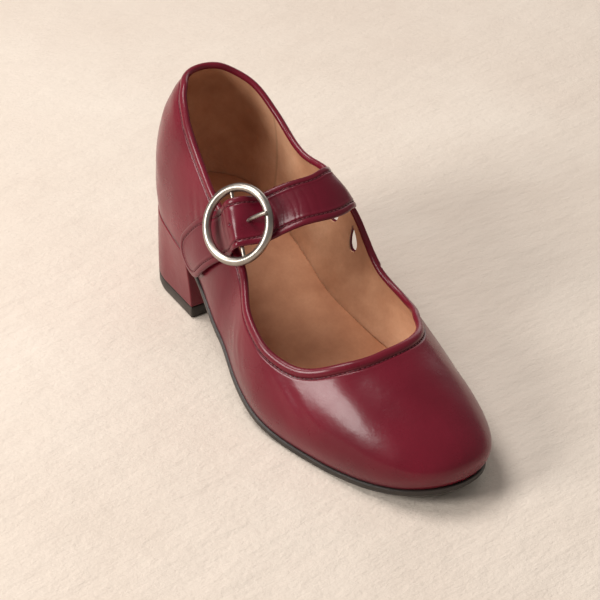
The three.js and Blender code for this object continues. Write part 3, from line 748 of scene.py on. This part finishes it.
def make_sole_black():
    n = Nodes("sole_black")
    base = n.ramp(n.noise(45, detail=5), (0.3, colour(30, 25, 22)), (0.7, colour(52, 45, 40)))
    worn = n.spread(n.noise(380, detail=4, roughness=0.7), 0.62, 0.80, 0.0, 0.35)
    base = n.mix(worn, base, colour(96, 84, 76))
    gloss = n.spread(n.noise(120, detail=4), 0.3, 0.7, 0.36, 0.52)
    n.bump((n.noise(300, detail=4), 0.00012), (n.noise(1500, detail=3), 0.00004))
    return n.set(Base_Color=base, Roughness=gloss)


def make_plaster():
    n = Nodes("floor_plaster")
    cloud = n.noise(5, detail=6, roughness=0.6)
    base = n.ramp(cloud, (0.3, colour(226, 212, 198)), (0.7, colour(237, 226, 213)))
    strokes = n.noise(26, detail=8, roughness=0.62, stretch=(1.0, 2.6, 1.0))
    n.bump((strokes, 0.0022), (n.noise(300, detail=6, roughness=0.7), 0.00035))
    return n.set(Base_Color=base, Roughness=0.85)


UPPER_LEATHER = make_leather(
    "upper_leather", colour(92, 12, 29), colour(109, 20, 38), colour(122, 28, 47), 0.29, 0.00002)
STRAP_LEATHER = make_leather(
    "strap_leather", colour(86, 9, 27), colour(100, 15, 35), colour(114, 23, 43), 0.30, 0.00002)
HEEL_LEATHER = make_leather(
    "heel_leather", colour(96, 18, 32), colour(112, 26, 40), colour(124, 34, 47), 0.38, 0.00003)
LINING = make_lining("lining_leather", colour(188, 136, 102), colour(212, 162, 126), colour(226, 180, 144))
SOCK = make_lining("sock_leather", colour(180, 122, 88), colour(202, 146, 110), colour(214, 160, 124))
THREAD_COLOUR = make_thread()
NICKEL = make_nickel()
SOLE_BLACK = make_sole_black()


# Stitching

def resample(points, pitch):
    """Points, tangents and places along a path at an even pitch."""
    lengths = lengths_along(points)
    count = max(int(lengths[-1] // pitch), 1)
    wanted = (np.arange(count) + 0.5) * lengths[-1] / count
    at = lambda distance: np.stack([np.interp(distance, lengths, points[:, k]) for k in range(3)], -1)
    return at(wanted), unit(at(wanted + 0.2) - at(wanted - 0.2)), wanted / lengths[-1]


def stitch_points(centres, tangents, normals):
    """One small capsule of thread for each centre, as points and faces of a joined mesh."""
    sides, rings = 8, 7
    turn = circle(sides)
    way = np.linspace(-1, 1, rings)
    girth = np.sqrt(np.maximum(1 - way ** 4, 0.01))
    along = way[:, None] * np.ones(sides) * STITCH / 2
    side = girth[:, None] * np.cos(turn) * THREAD / 2
    up = girth[:, None] * np.sin(turn) * THREAD / 2
    across = np.cross(normals, tangents)
    template = np.stack([along, side, up], -1).reshape(-1, 3)
    axes = np.stack([tangents, unit(across), normals], 1)
    points = centres[:, None, :] + np.einsum("pk,nkc->npc", template, axes)
    wall = np.array(grid_faces(rings, sides, closed_columns=True))
    faces = []
    for i in range(len(centres)):
        faces += (wall + i * len(template)).tolist()
        faces.append([i * len(template) + k for k in range(sides)][::-1])
        faces.append([(i + 1) * len(template) - sides + k for k in range(sides)])
    return points.reshape(-1, 3), faces


def make_stitching(name, paths, slot):
    """Stitches along paths of points with normals, as one piece."""
    shake = np.random.default_rng(7)
    all_points = []
    all_faces = []
    count = 0
    for points, normals in paths:
        centres, tangents, places = resample(points, STITCH_PITCH)
        source = lengths_along(points) / lengths_along(points)[-1]
        out = np.stack([np.interp(places, source, normals[:, k]) for k in range(3)], -1)
        out = unit(out - tangents * np.sum(out * tangents, -1, keepdims=True))
        lean = shake.normal(0, 0.05, len(centres))[:, None]
        tangents = unit(tangents + lean * np.cross(out, tangents))
        made, faces = stitch_points(centres, tangents, out)
        all_faces += [[i + count for i in face] for face in faces]
        all_points.append(made)
        count += len(made)
    piece = make_piece(name, np.concatenate(all_points), all_faces, THREAD_COLOUR)
    finish_piece(piece, slot)


# Cut-outs

def petal_outline(petal, grow=0.0):
    """The outline of a cut-out in its own plane, and the plane's normal."""
    start = last_point(*petal["round"])
    end = last_point(*petal["tip"])
    between = (np.array(petal["round"]) + np.array(petal["tip"])) / 2
    normal = last_normal(between[0], between[1])
    axis = (end - start) / 2
    across = unit(np.cross(normal, axis))
    angle = circle(72)[:, None]
    swell = petal["width"] * np.sin(angle) * abs(np.sin(angle / 2)) ** 1.2
    outline = (start + end) / 2 + axis * np.cos(angle) + across * swell
    if grow:
        tangent = unit(np.roll(outline, -1, 0) - np.roll(outline, 1, 0))
        outline = outline + unit(np.cross(tangent, normal)) * grow
        for _ in range(3):
            outline = (np.roll(outline, 1, 0) + 2 * outline + np.roll(outline, -1, 0)) / 4
    return outline, normal


def onto_last(points, normal, guess):
    """Ring and rise of the last's points that lie under points seen along normal."""
    side = unit(np.cross(normal, [0.0, 0.0, 1.0]))
    axes = np.stack([side, np.cross(normal, side)])
    place = np.tile(np.array(guess, float), (len(points), 1))
    e = 0.001
    for _ in range(12):
        here = last_point(place[:, 0], place[:, 1])
        miss = (points - here) @ axes.T
        by_ring = (last_point(place[:, 0] + e, place[:, 1]) - here) @ axes.T / e
        by_rise = (last_point(place[:, 0], place[:, 1] + e) - here) @ axes.T / e
        jacobian = np.stack([by_ring, by_rise], -1)
        place += np.clip(np.linalg.solve(jacobian, miss[..., None])[..., 0], -0.1, 0.1)
    return place[:, 0], place[:, 1]


def petal_path(petal, grow, height):
    """Points over the outer face along a cut-out's outline, and their normals."""
    outline, normal = petal_outline(petal, grow)
    ring, rise = onto_last(outline, normal, petal["round"])
    normals = last_normal(ring, rise)
    return last_point(ring, rise) + normals * height, normals


def petal_cutter(petal):
    outline, normal = petal_outline(petal)
    depth = 3 * WALL
    loops = [outline - normal * depth, outline + normal * depth]
    cutter = loft("cutter", loops, UPPER_LEATHER)
    cutter.hide_render = True
    return cutter


def cut_petals(piece):
    for petal in PETALS:
        cutter = petal_cutter(petal)
        with_modifier(piece, "BOOLEAN", operation="DIFFERENCE", object=cutter, solver="EXACT")
        bpy.data.objects.remove(cutter)


def tube_round(points, normals, width, height):
    """Loops of a flattened tube along a closed path."""
    tangents = unit(np.roll(points, -1, 0) - np.roll(points, 1, 0))
    across = unit(np.cross(normals, tangents))
    turn = circle(12)[None, :, None]
    return points[:, None] + across[:, None] * np.cos(turn) * width + normals[:, None] * np.sin(turn) * height


def make_petal_rims():
    """The turned edge of each cut-out."""
    for i, petal in enumerate(PETALS):
        points, normals = petal_path(petal, RIM_PLACE, -0.05)
        loops = tube_round(points, normals, RIM_WIDTH / 2, RIM_HEIGHT / 2)
        rim = loft(f"petal_rim_{i + 1}", loops, UPPER_LEATHER, capped=False)
        finish_piece(rim, "upper_leather")


# Upper

def crease_offset(points):
    """Height of the soft troughs at the outer face's points."""
    offset = np.zeros(len(points))
    for row in zip(*CREASES.values()):
        ring_a, rise_a, ring_b, rise_b, bow, width, depth = row
        t = np.linspace(0, 1, 25)
        path = last_point(lerp(ring_a, ring_b, t), lerp(rise_a, rise_b, t) + bow * np.sin(math.pi * t))
        reach = np.linalg.norm(points[:, None] - path[None], axis=-1)
        nearest = reach.argmin(1)
        distance = reach[np.arange(len(points)), nearest]
        taper = np.sin(math.pi * t[nearest]) ** 0.8
        trough = bell(distance, width) - BANK * bell(distance - 2 * width, width)
        offset -= depth * taper * trough
    return offset


def petal_offset(points):
    """A pressed line round each cut-out, and a slight swell inside it."""
    offset = np.zeros(len(points))
    for petal in PETALS:
        outline, _ = petal_path(petal, 0.0, 0.0)
        near = np.linalg.norm(points - outline.mean(0), axis=-1) < 22
        distance = np.linalg.norm(points[near][:, None] - outline[None], axis=-1).min(1)
        offset[near] += 0.22 * bell(distance - 0.9, 0.8) - 0.30 * bell(distance - PETAL_LINE, 0.75)
    return offset


def seam_offset(rings, rises):
    """The quarter's edge stands over the vamp along the medial seam."""
    top = topline_rise(rings)
    station = lerp(SEAM_LOW, SEAM_TOP, smooth((rises + 1) / (top + 1), 0, 1))
    distance = (rings - station) * ROUND_SIDE
    step = SEAM_STEP * (1 - smooth(distance, -SEAM_WIDTH / 2, SEAM_WIDTH / 2)) * smooth(distance, -14, -2)
    return np.where(rings > 0, step - 0.3 * bell(distance - 0.8, 0.6), 0)


def stay_offset(points, edge_distance):
    """The short stay over the back seam, and the seam under it."""
    across = points[..., 0] - last_point(0.0, 0.3)[0]
    at_back = points[..., 1] > -0.12 * LENGTH
    depth = STAY_HEIGHT - edge_distance
    inside = np.minimum(STAY_WIDTH / 2 + 0.12 * edge_distance - abs(across), depth)
    stay = STAY * smooth(inside, 0, 0.7)
    groove = -0.22 * bell(inside + 0.3, 0.45)
    seam = np.where(depth < 0, -0.25 * bell(across, 0.55) + 0.12 * bell(abs(across) - 1.4, 0.8), 0)
    return np.where(at_back, stay + groove + seam, 0)


def edge_distance_of(points):
    """Distance up each column of points to its last one."""
    lengths = lengths_along(np.swapaxes(points, 0, 1))
    return np.swapaxes(lengths[:, -1:] - lengths, 0, 1)


def bead_share(rings):
    """The rolled edge is flat where the strap grows out of the quarter."""
    inside = smooth(rings, *ROLL_ENDS) * (1 - smooth(rings, *ROLL_STARTS))
    return 1 - 0.85 * inside


def outer_face(rings):
    """Points of the outer face, rows up the shoe by stations round it, and their shares of painted shade."""
    body_rows = 64
    rises = rises_at(rings, body_rows, ROLL_OUTSIDE["distance"]).T
    bare = last_point(rings, rises)
    normals = last_normal(rings, rises)
    roll = np.zeros(rises.shape)
    roll[body_rows:] = ROLL_OUTSIDE["rise"][:, None] * bead_share(rings)
    flat = bare.reshape(-1, 3)
    distance = edge_distance_of(bare)
    fade = smooth(distance, 5.5, 9.0)
    above_foot = smooth(rises, -1.0, -0.8)
    folds = crease_offset(flat).reshape(rises.shape) * fade * above_foot
    pressed = petal_offset(flat).reshape(rises.shape) * fade + seam_offset(rings, rises)
    pressed += stay_offset(bare, distance) * smooth(distance, 4.6, 5.4)
    pressed = pressed * above_foot + roll
    # Painted shade shares: darker in pressed grooves, plus a thin painted shadow line at the foot where the
    # upper meets the sole.
    groove = np.clip(-pressed / 0.45, 0, 1) * (distance > 0.5)
    groove = groove * 0.8 + 0.7 * bell((rises + 1) * 12, 1)
    return bare + normals * (folds + pressed)[..., None], np.clip(groove, 0, 1)


def inner_face(rings):
    """Points that turn over the edge and go down the inside of the leather."""
    distances = ROLL_INSIDE["distance"]
    rises = rises_at(rings, 0, distances[::-1])[:, ::-1].T
    turned = last_point(rings, rises) + last_normal(rings, rises) * ROLL_INSIDE["rise"][:, None, None]
    low = rises_at(rings, 6, distances[-1:])[:, ::-1].T
    body = last_point(rings, low) - last_normal(rings, low) * LEATHER
    body[-1] = foot_point(rings, LEATHER)
    return np.concatenate([turned, body])


def make_upper():
    rings = ring_stations(350)
    outside, groove = outer_face(rings)
    inside = inner_face(rings)
    loops = np.concatenate([outside, inside])
    painted_groove_shade = np.concatenate([groove, np.zeros(inside.shape[:2])]).reshape(-1)
    upper = loft("upper_shell", loops, UPPER_LEATHER, capped=False, groove=painted_groove_shade)
    cut_petals(upper)
    shade(upper.data, 50)
    finish_piece(upper, "upper_leather", "upper")


def make_lining_shell():
    """The lining, from under the rolled edge down to the foot."""
    rings = ring_stations(240)
    rows = 34
    rises = rises_at(rings, rows, [2.5]).T
    normals = last_normal(rings, rises)
    bare = last_point(rings, rises)
    seam = np.zeros(rises.shape)
    for place in LINING_SEAMS:
        distance = (rings - place) * ROUND_SIDE
        seam += 0.35 * bell(distance, 0.8) - 0.25 * bell(distance - 1.8, 0.9)
    depth = WALL - seam * smooth(rises, -0.9, -0.7)
    face = bare - normals * depth[..., None]
    face[0] = foot_point(rings, WALL)
    back = bare - normals * (LEATHER + 0.1)
    back[0] = foot_point(rings, LEATHER + 0.1)
    top = bare[-1:] - normals[-1:] * (LEATHER + WALL) / 2
    # Painted shade share in the seam grooves of the lining.
    groove = np.clip(seam / 0.35, 0, 1) * 0.9
    painted_groove_shade = np.concatenate([groove, np.zeros((rows + 2, len(rings)))]).reshape(-1)
    loops = np.concatenate([face, top, back[::-1]])
    shell = loft("lining", loops, LINING, capped=False, groove=painted_groove_shade)
    cut_petals(shell)
    shade(shell.data, 50)
    finish_piece(shell, "insole_leather")


def topline_path(ring_from, ring_to, distance, height):
    """A path at a set distance under the topline."""
    rings = np.linspace(ring_from, ring_to, 400)
    rises = rises_at(rings, 0, [distance])[:, 0]
    normals = last_normal(rings, rises)
    return last_point(rings, rises) + normals * height, normals


def make_upper_stitching():
    thread_height = -0.30
    paths = [
        topline_path(-1.0, STITCHES_END, ROLL_GROOVE, thread_height),
        topline_path(STITCHES_START, 1.0, ROLL_GROOVE, thread_height),
    ]
    for petal in PETALS:
        points, normals = petal_path(petal, PETAL_STITCHES, -0.12)
        paths.append((np.vstack([points, points[:1]]), np.vstack([normals, normals[:1]])))
    make_stitching("upper_stitching", paths, "upper_leather")


# Strap and buckle

def strap_samples():
    order = np.arange(len(STRAP_LINE["turn"]), dtype=float)
    k = np.linspace(0, order[-1], 161)
    turn = spline(order, STRAP_LINE["turn"])(k)
    u = spline(order, STRAP_LINE["along"] * LENGTH)(k)
    rise = spline(order, STRAP_LINE["rise"])(k)
    points = instep_point(u, turn) + instep_normal(u, turn) * rise[:, None]
    return lengths_along(points), u, turn, rise


STRAP_WAY, STRAP_U, STRAP_TURN, STRAP_HEIGHT = strap_samples()
STRAP_LENGTH = STRAP_WAY[-1]
BAR_AT = float(np.interp(-BUCKLE_TURN, -STRAP_TURN, STRAP_WAY))


def strap_at(distance):
    """u, turn and the inner face's height at a distance along the strap."""
    return tuple(np.interp(distance, STRAP_WAY, values) for values in (STRAP_U, STRAP_TURN, STRAP_HEIGHT))


def strap_points(distance, across, height):
    """Points at distances along the strap and across it, at a height over its inner face."""
    u, turn, rise = strap_at(distance)
    u_a, turn_a, _ = strap_at(distance - 1.2)
    u_b, turn_b, _ = strap_at(distance + 1.2)
    way = unit(instep_point(u_b, turn_b) - instep_point(u_a, turn_a))
    side = unit(np.cross(way, instep_normal(u, turn)))
    per_u = (instep_point(u + 1, turn) - instep_point(u - 1, turn)) / 2
    per_turn = (instep_point(u, turn + 0.02) - instep_point(u, turn - 0.02)) * 25
    dot = lambda a, b: np.sum(a * b, -1)
    uu, ut, tt = dot(per_u, per_u), dot(per_u, per_turn), dot(per_turn, per_turn)
    cu, ct = dot(per_u, side), dot(per_turn, side)
    det = uu * tt - ut * ut
    here_u = u + across * (cu * tt - ct * ut) / det
    here_turn = turn + across * (ct * uu - cu * ut) / det
    normals = instep_normal(here_u, here_turn)
    return instep_point(here_u, here_turn) + normals * (rise + height)[..., None], normals


def strap_edge_distance(distance, across):
    """Distance from the strap's outline, whose tip is a half ellipse."""
    half = STRAP_WIDTH / 2
    x = np.maximum(distance - (STRAP_LENGTH - TIP_RADIUS), 0)
    q = np.sqrt((x / TIP_RADIUS) ** 2 + (across / half) ** 2)
    steepness = np.sqrt((x / TIP_RADIUS ** 2) ** 2 + (across / half ** 2) ** 2) / np.maximum(q, 1e-6)
    return np.maximum(np.where(x > 0, (1 - q) / np.maximum(steepness, 1e-6), half - abs(across)), 0)


# Cross section: the pressed line's distance from the edge and its depth, and the rounding of the edge,
# which starts at a share of the thickness
STRAP_BAND = 3.1
BAND_DEPTH = 0.42
EDGE_ROUND = 0.9
EDGE_SHARE = 0.42

# The spare hole: distance past the bar, distance off the centre line, radius and depth
SPARE_HOLE = (2.4, 0.3, 0.75, 1.2)


def strap_relief(distance, across):
    """Height of the strap's outer face over its flat thickness, the spare hole's, and the edge's distance."""
    edge = strap_edge_distance(distance, across)
    relief = 0.12 * bell(edge - 1.7, 1.0) - BAND_DEPTH * bell(edge - STRAP_BAND, 0.42)
    relief += 0.14 * bell(edge - STRAP_BAND - 1.0, 0.6)
    panel = smooth(edge, STRAP_BAND + 0.4, STRAP_WIDTH / 2)
    in_ring = bell(distance - BAR_AT, 12)
    relief += panel * (0.10 + 0.40 * in_ring)
    for before, slant, width, depth in zip(*STRAP_CREASES.values()):
        crease = bell(distance - (BAR_AT - before) + slant * across, width)
        relief -= depth * crease * smooth(edge, 0.8, 3.0)
    past, aside, radius, deep = SPARE_HOLE
    from_hole = np.sqrt((distance - BAR_AT - past) ** 2 + (across - aside) ** 2)
    return relief, -deep * bell(from_hole, radius), edge


def make_strap():
    straight = np.linspace(GAP, STRAP_LENGTH - TIP_RADIUS, 290)
    rounding = STRAP_LENGTH - TIP_RADIUS * (1 - np.sin(np.linspace(0, math.pi / 2, 44)[1:]))
    way = np.concatenate([straight, rounding])[:, None]
    left = np.clip(1 - (STRAP_LENGTH - way) / TIP_RADIUS, 0, 1)
    half = STRAP_WIDTH / 2 * np.sqrt(np.maximum(1 - left * left, 0.0009))
    over = np.sin(np.linspace(-math.pi / 2, math.pi / 2, 81))[None]
    under = np.sin(np.linspace(math.pi / 2, -math.pi / 2, 19))[None, 1:-1]
    relief, hole, edge = strap_relief(way, over * half)
    top = lerp(STRAP * EDGE_SHARE, STRAP, quarter_round(edge / EDGE_ROUND))
    top_points, _ = strap_points(way, over * half, top + relief * smooth(edge, 0, 1.2) + hole)
    low_edge = strap_edge_distance(way, under * half)
    low = STRAP * EDGE_SHARE * (1 - quarter_round(low_edge / EDGE_ROUND))
    low_points, _ = strap_points(way, under * half, low)
    loops = np.concatenate([top_points, low_points], 1)
    # Painted shade share in the strap's pressed lines, creases and spare hole.
    share = np.clip(-(relief + hole) / BAND_DEPTH, 0, 1) * 0.8
    painted_groove_shade = np.concatenate([share, np.zeros(low_edge.shape)], 1)
    painted_groove_shade = np.concatenate([painted_groove_shade[:1] * 0, painted_groove_shade, painted_groove_shade[:1] * 0]).reshape(-1)
    strap = loft("strap_band", loops, STRAP_LEATHER, groove=painted_groove_shade)
    shade(strap.data, 60)
    finish_piece(strap, "strap_leather", "strap")


def strap_stitch_path():
    """Down one side, round the tip and back up the other, in the pressed line."""
    half = STRAP_WIDTH / 2 - STRAP_BAND
    tip = TIP_RADIUS - STRAP_BAND
    straight = np.linspace(12, STRAP_LENGTH - TIP_RADIUS, 200)
    turn = np.linspace(0, math.pi, 60)[1:-1]
    way = np.concatenate([straight, STRAP_LENGTH - TIP_RADIUS + tip * np.sin(turn), straight[::-1]])
    across = np.concatenate([np.full(200, -half), -half * np.cos(turn), np.full(200, half)])
    return strap_points(way, across, np.full(len(way), STRAP - 0.22))


def buckle_matrix():
    """The buckle's own axes: along the strap towards its root, across the strap, and out of the shoe."""
    u, turn, _ = strap_at(BAR_AT)
    normal = instep_normal(u, turn)
    centre = instep_point(u, turn) + normal * BAR_HEIGHT
    before = strap_at(BAR_AT - RING_DIAMETER / 3)
    after = strap_at(BAR_AT + RING_DIAMETER / 3)
    towards = instep_point(before[0], before[1]) - instep_point(after[0], after[1])
    along = unit(towards - normal * np.dot(towards, normal))
    return np.stack([along, np.cross(normal, along), normal]), centre


BUCKLE_AXES, BUCKLE_CENTRE = buckle_matrix()


def in_buckle(points):
    return points @ BUCKLE_AXES + BUCKLE_CENTRE


def make_ring():
    """The ring's section is a flattened round, and the bar crosses under the strap."""
    turn = circle(160)[:, None]
    spin = circle(36)[None]
    stock = RING_STOCK / 2
    reach = RING_RADIUS + stock * np.cos(spin)
    height = stock * np.sin(spin) * (1 - 0.06 * np.cos(spin) ** 2)
    loops = np.stack([reach * np.cos(turn), reach * np.sin(turn), height * np.ones_like(turn)], -1)
    ring = loft("buckle_round", in_buckle(loops), NICKEL, capped=False)
    finish_piece(ring, "buckle_metal", "buckle_ring")
    way = np.linspace(-RING_RADIUS, RING_RADIUS, 9)[:, None]
    bar = np.stack([
        BAR_STOCK / 2 * np.cos(spin) * np.ones_like(way),
        way * np.ones_like(spin),
        BAR_STOCK / 2 * np.sin(spin) * np.ones_like(way),
    ], -1)
    finish_piece(loft("buckle_bar", in_buckle(bar), NICKEL, sharp=40), "buckle_metal")


def make_prong():
    start = BAR_STOCK / 2 + GAP + PRONG_STOCK / 2
    over = RING_STOCK / 2 + GAP + PRONG_STOCK / 2
    end = RING_RADIUS + RING_STOCK * 0.35
    x = np.array([start, RING_RADIUS * 0.3, RING_RADIUS * 0.62, RING_RADIUS * 0.92, end])
    z = np.array([-0.3, 0, over * 0.72, over, over])
    way = np.linspace(x[0], x[-1], 60)
    path = np.stack([way, np.zeros(60), spline(x, z)(way)], -1)
    tangents = unit(np.gradient(path, axis=0))
    across = np.array([0.0, 1.0, 0.0])
    out = np.cross(tangents, across)
    left = lengths_along(path)[-1] - lengths_along(path)
    radius = PRONG_STOCK / 2 * np.sqrt(np.clip(1 - (1 - np.clip(left / 1.1, 0, 1)) ** 2, 0.02, 1))
    spin = circle(24)[None, :, None]
    round_it = np.cos(spin) * across + 0.85 * np.sin(spin) * out[:, None]
    loops = path[:, None] + radius[:, None, None] * round_it
    prong = loft("buckle_tongue", in_buckle(loops), NICKEL)
    finish_piece(prong, "buckle_metal", "buckle_prong")


# Insole, sole and heel

def outline_edges(inset):
    """The foot's outline drawn in by an inset: its back, its front and both edges over the way between."""
    edges = [foot_point(side * np.linspace(0, 1, 601), inset) for side in (-1, 1)]
    back = -edges[0][0, 1]
    front = -edges[0][-1, 1]
    return back, front, lambda u: [np.interp(u, -edge[:, 1], edge[:, 0]) for edge in edges]


def layer(name, inset, top, thickness, edge, material, start=None, sharp=None, dome=0.0):
    """A layer under the foot. edge gives how far each row of its rim swells and its share of the depth."""
    sections, columns = 220, 13
    k = np.linspace(0, 1, sections + 1)
    rims = []
    for swell, depth in edge:
        back, front, sides_at = outline_edges(inset - swell)
        if start is None:
            way = lerp(back, front, (1 - np.cos(math.pi * k)) / 2)
        else:
            way = lerp(start, front, np.sin(math.pi / 2 * k))
        rims.append([np.stack([x, -way, top(way) - depth * thickness], -1) for x in sides_at(way)])
    left = [rim[0] for rim in rims]
    right = [rim[1] for rim in rims]
    share = np.linspace(0, 1, columns + 2)[1:-1]
    crown = lambda t: dome * (1 - (2 * t - 1) ** 4)
    over = [lerp(right[0], left[0], t) + np.array([0, 0, crown(t)]) for t in share]
    under = [lerp(left[-1], right[-1], t) for t in share]
    loops = np.stack([*left, *under, *right[::-1], *over], 1)
    return loft(name, loops, material, sharp)


def sole_top(u):
    return feather(u) - GAP


def make_outsole():
    upper_edge = [(-0.5, 0.0), (0.0, 0.03), (0.45, 0.14), (0.55, 0.30)]
    edge = upper_edge + [(0.55, 0.65), (0.40, 0.80), (0.0, 0.93), (-0.6, 1.0)]
    sole = layer("sole", -0.4, sole_top, SOLE, edge, SOLE_BLACK, start=BREAST + GAP, sharp=35)
    finish_piece(sole, "sole_black", "outsole")


def make_insole():
    edge = [(-0.9, 0.0), (-0.35, 0.06), (0.0, 0.28), (0.0, 1.0)]
    top = lambda u: feather(u) + INSOLE
    inside = layer("sock", WALL + 2 * GAP, top, INSOLE, edge, SOCK, sharp=50, dome=0.5)
    finish_piece(inside, "insole_leather", "insole")


def heel_loop(outline_at):
    back = outline_at(np.linspace(-1, 1, 141))
    front = lerp(back[-1], back[0], np.linspace(0, 1, 34)[1:-1, None])
    return np.concatenate([back, front])


def foot_outline(t):
    """The heel's foot seen from above: an arc round the back, then a straight side to the breast."""
    arc_end = 0.72
    half = HEEL_FOOT_WIDTH / 2
    depth = BREAST - HEEL_FOOT_BACK
    curve = depth * 0.52
    arc = np.clip(abs(t) / arc_end, 0, 1) * math.pi / 2
    straight = np.clip((abs(t) - arc_end) / (1 - arc_end), 0, 1)
    u = HEEL_FOOT_BACK + curve * (1 - np.cos(arc)) + (depth - curve) * straight
    return np.stack([np.sign(t) * half * np.sin(arc) ** 0.92, -u, 0 * t], -1)


SEAT_LOOP = heel_loop(lambda t: foot_point(t * station_of(BREAST / LENGTH), -0.4) * [1, 1, 0])
FOOT_LOOP = heel_loop(foot_outline)


def heel_loop_at(drop):
    """The heel's loop at a share of its height down from the seat, drawn in fast at first."""
    return lerp(SEAT_LOOP, FOOT_LOOP, 1 - (1 - drop) ** 1.6)


def drawn_in(loop, share):
    centre = np.array([0, -BREAST * 0.55, 0])
    return lerp(centre, loop, share)


def make_heel():
    inwards = (0.97, 0.5, 0.02)
    rows = [(0, share) for share in inwards[::-1]]
    rows += [(drop, 1) for drop in np.linspace(0, 1, 40)]
    rows += [(1, share) for share in inwards]
    loops = []
    for drop, share in rows:
        loop = drawn_in(heel_loop_at(drop), share)
        loop[:, 2] = lerp(sole_top(-loop[:, 1]), TOP_PIECE + GAP, drop)
        loops.append(loop)
    heel = loft("heel_cover", loops, HEEL_LEATHER)
    bevel(heel, 0.5, 3)
    shade(heel.data, 50)
    finish_piece(heel, "heel_leather", "heel_block")


def make_top_piece():
    top_rows = [(0.02, TOP_PIECE), (0.99, TOP_PIECE), (1.0, TOP_PIECE - 0.4)]
    foot_rows = [(1.0, 1.0), (0.992, 0.3), (0.98, 0.0), (0.02, 0.0)]
    loops = []
    for share, height in top_rows + foot_rows:
        loop = drawn_in(FOOT_LOOP, share)
        loop[:, 2] = height
        loops.append(loop)
    lift = loft("top_lift", loops, SOLE_BLACK)
    bevel(lift, 0.3, 2)
    shade(lift.data, 40)
    finish_piece(lift, "sole_black", "heel_top_piece")


# Floor, light and camera

def make_floor():
    mesh = bpy.data.meshes.new("floor")
    size = 6.0
    drop = -0.0002
    corners = [(-size, -size, drop), (size, -size, drop), (size, size, drop), (-size, size, drop)]
    mesh.from_pydata(corners, [], [(0, 1, 2, 3)])
    mesh.materials.append(make_plaster())
    floor = bpy.data.objects.new("floor", mesh)
    bpy.context.scene.collection.objects.link(floor)


def add_light(name, place, target, size, power, tint):
    light = bpy.data.lights.new(name, "AREA")
    light.shape = "DISK"
    light.size = size
    light.energy = power
    light.color = tint
    lamp = bpy.data.objects.new(name, light)
    lamp.location = place
    lamp.rotation_mode = "QUATERNION"
    lamp.rotation_quaternion = (Vector(target) - Vector(place)).to_track_quat("-Z", "Y")
    lamp.visible_camera = False
    bpy.context.scene.collection.objects.link(lamp)


def light_scene():
    world = bpy.data.worlds.new("studio")
    world.use_nodes = True
    background = world.node_tree.nodes["Background"]
    background.inputs["Color"].default_value = (1.0, 0.95, 0.90, 1)
    background.inputs["Strength"].default_value = 0.27
    bpy.context.scene.world = world
    middle_of_shoe = (0, 0, 0.04)
    add_light("key", (-1.20, 0.16, 0.70), middle_of_shoe, 0.55, 12.5, (1.0, 0.96, 0.92))
    add_light("high", (-0.35, 0.50, 1.30), middle_of_shoe, 0.70, 12, (1.0, 0.95, 0.92))
    add_light("fill", (0.90, 0.70, 0.45), middle_of_shoe, 0.80, 2, (1.0, 0.95, 0.92))


# The camera stands where the photograph was taken, turned to the one shoe. FILL is its focal length
# in widths of the picture.
CAMERA_PLACE = Vector((-0.3513, -0.5613, 0.5204))
CAMERA_TARGET = Vector((-0.002, 0.002, 0.040))
FILL = 2.85


def make_camera():
    data = bpy.data.cameras.new("camera")
    data.sensor_width = 36
    data.lens = 36 * FILL
    data.clip_start = 0.05
    data.clip_end = 50
    camera = bpy.data.objects.new("camera", data)
    camera.location = CAMERA_PLACE
    camera.rotation_mode = "QUATERNION"
    camera.rotation_quaternion = (CAMERA_TARGET - CAMERA_PLACE).to_track_quat("-Z", "Y")
    bpy.context.scene.collection.objects.link(camera)
    bpy.context.scene.camera = camera


make_camera()
light_scene()
make_floor()
make_upper()
make_lining_shell()
make_petal_rims()
make_upper_stitching()
make_strap()
make_stitching("strap_stitching", [strap_stitch_path()], "strap_leather")
make_ring()
make_prong()
make_insole()
make_outsole()
make_heel()
make_top_piece()

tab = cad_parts["buckle_tab"]
tab.data.materials.clear()
tab.data.materials.append(STRAP_LEATHER)

bpy.context.scene.view_settings.view_transform = "Standard"
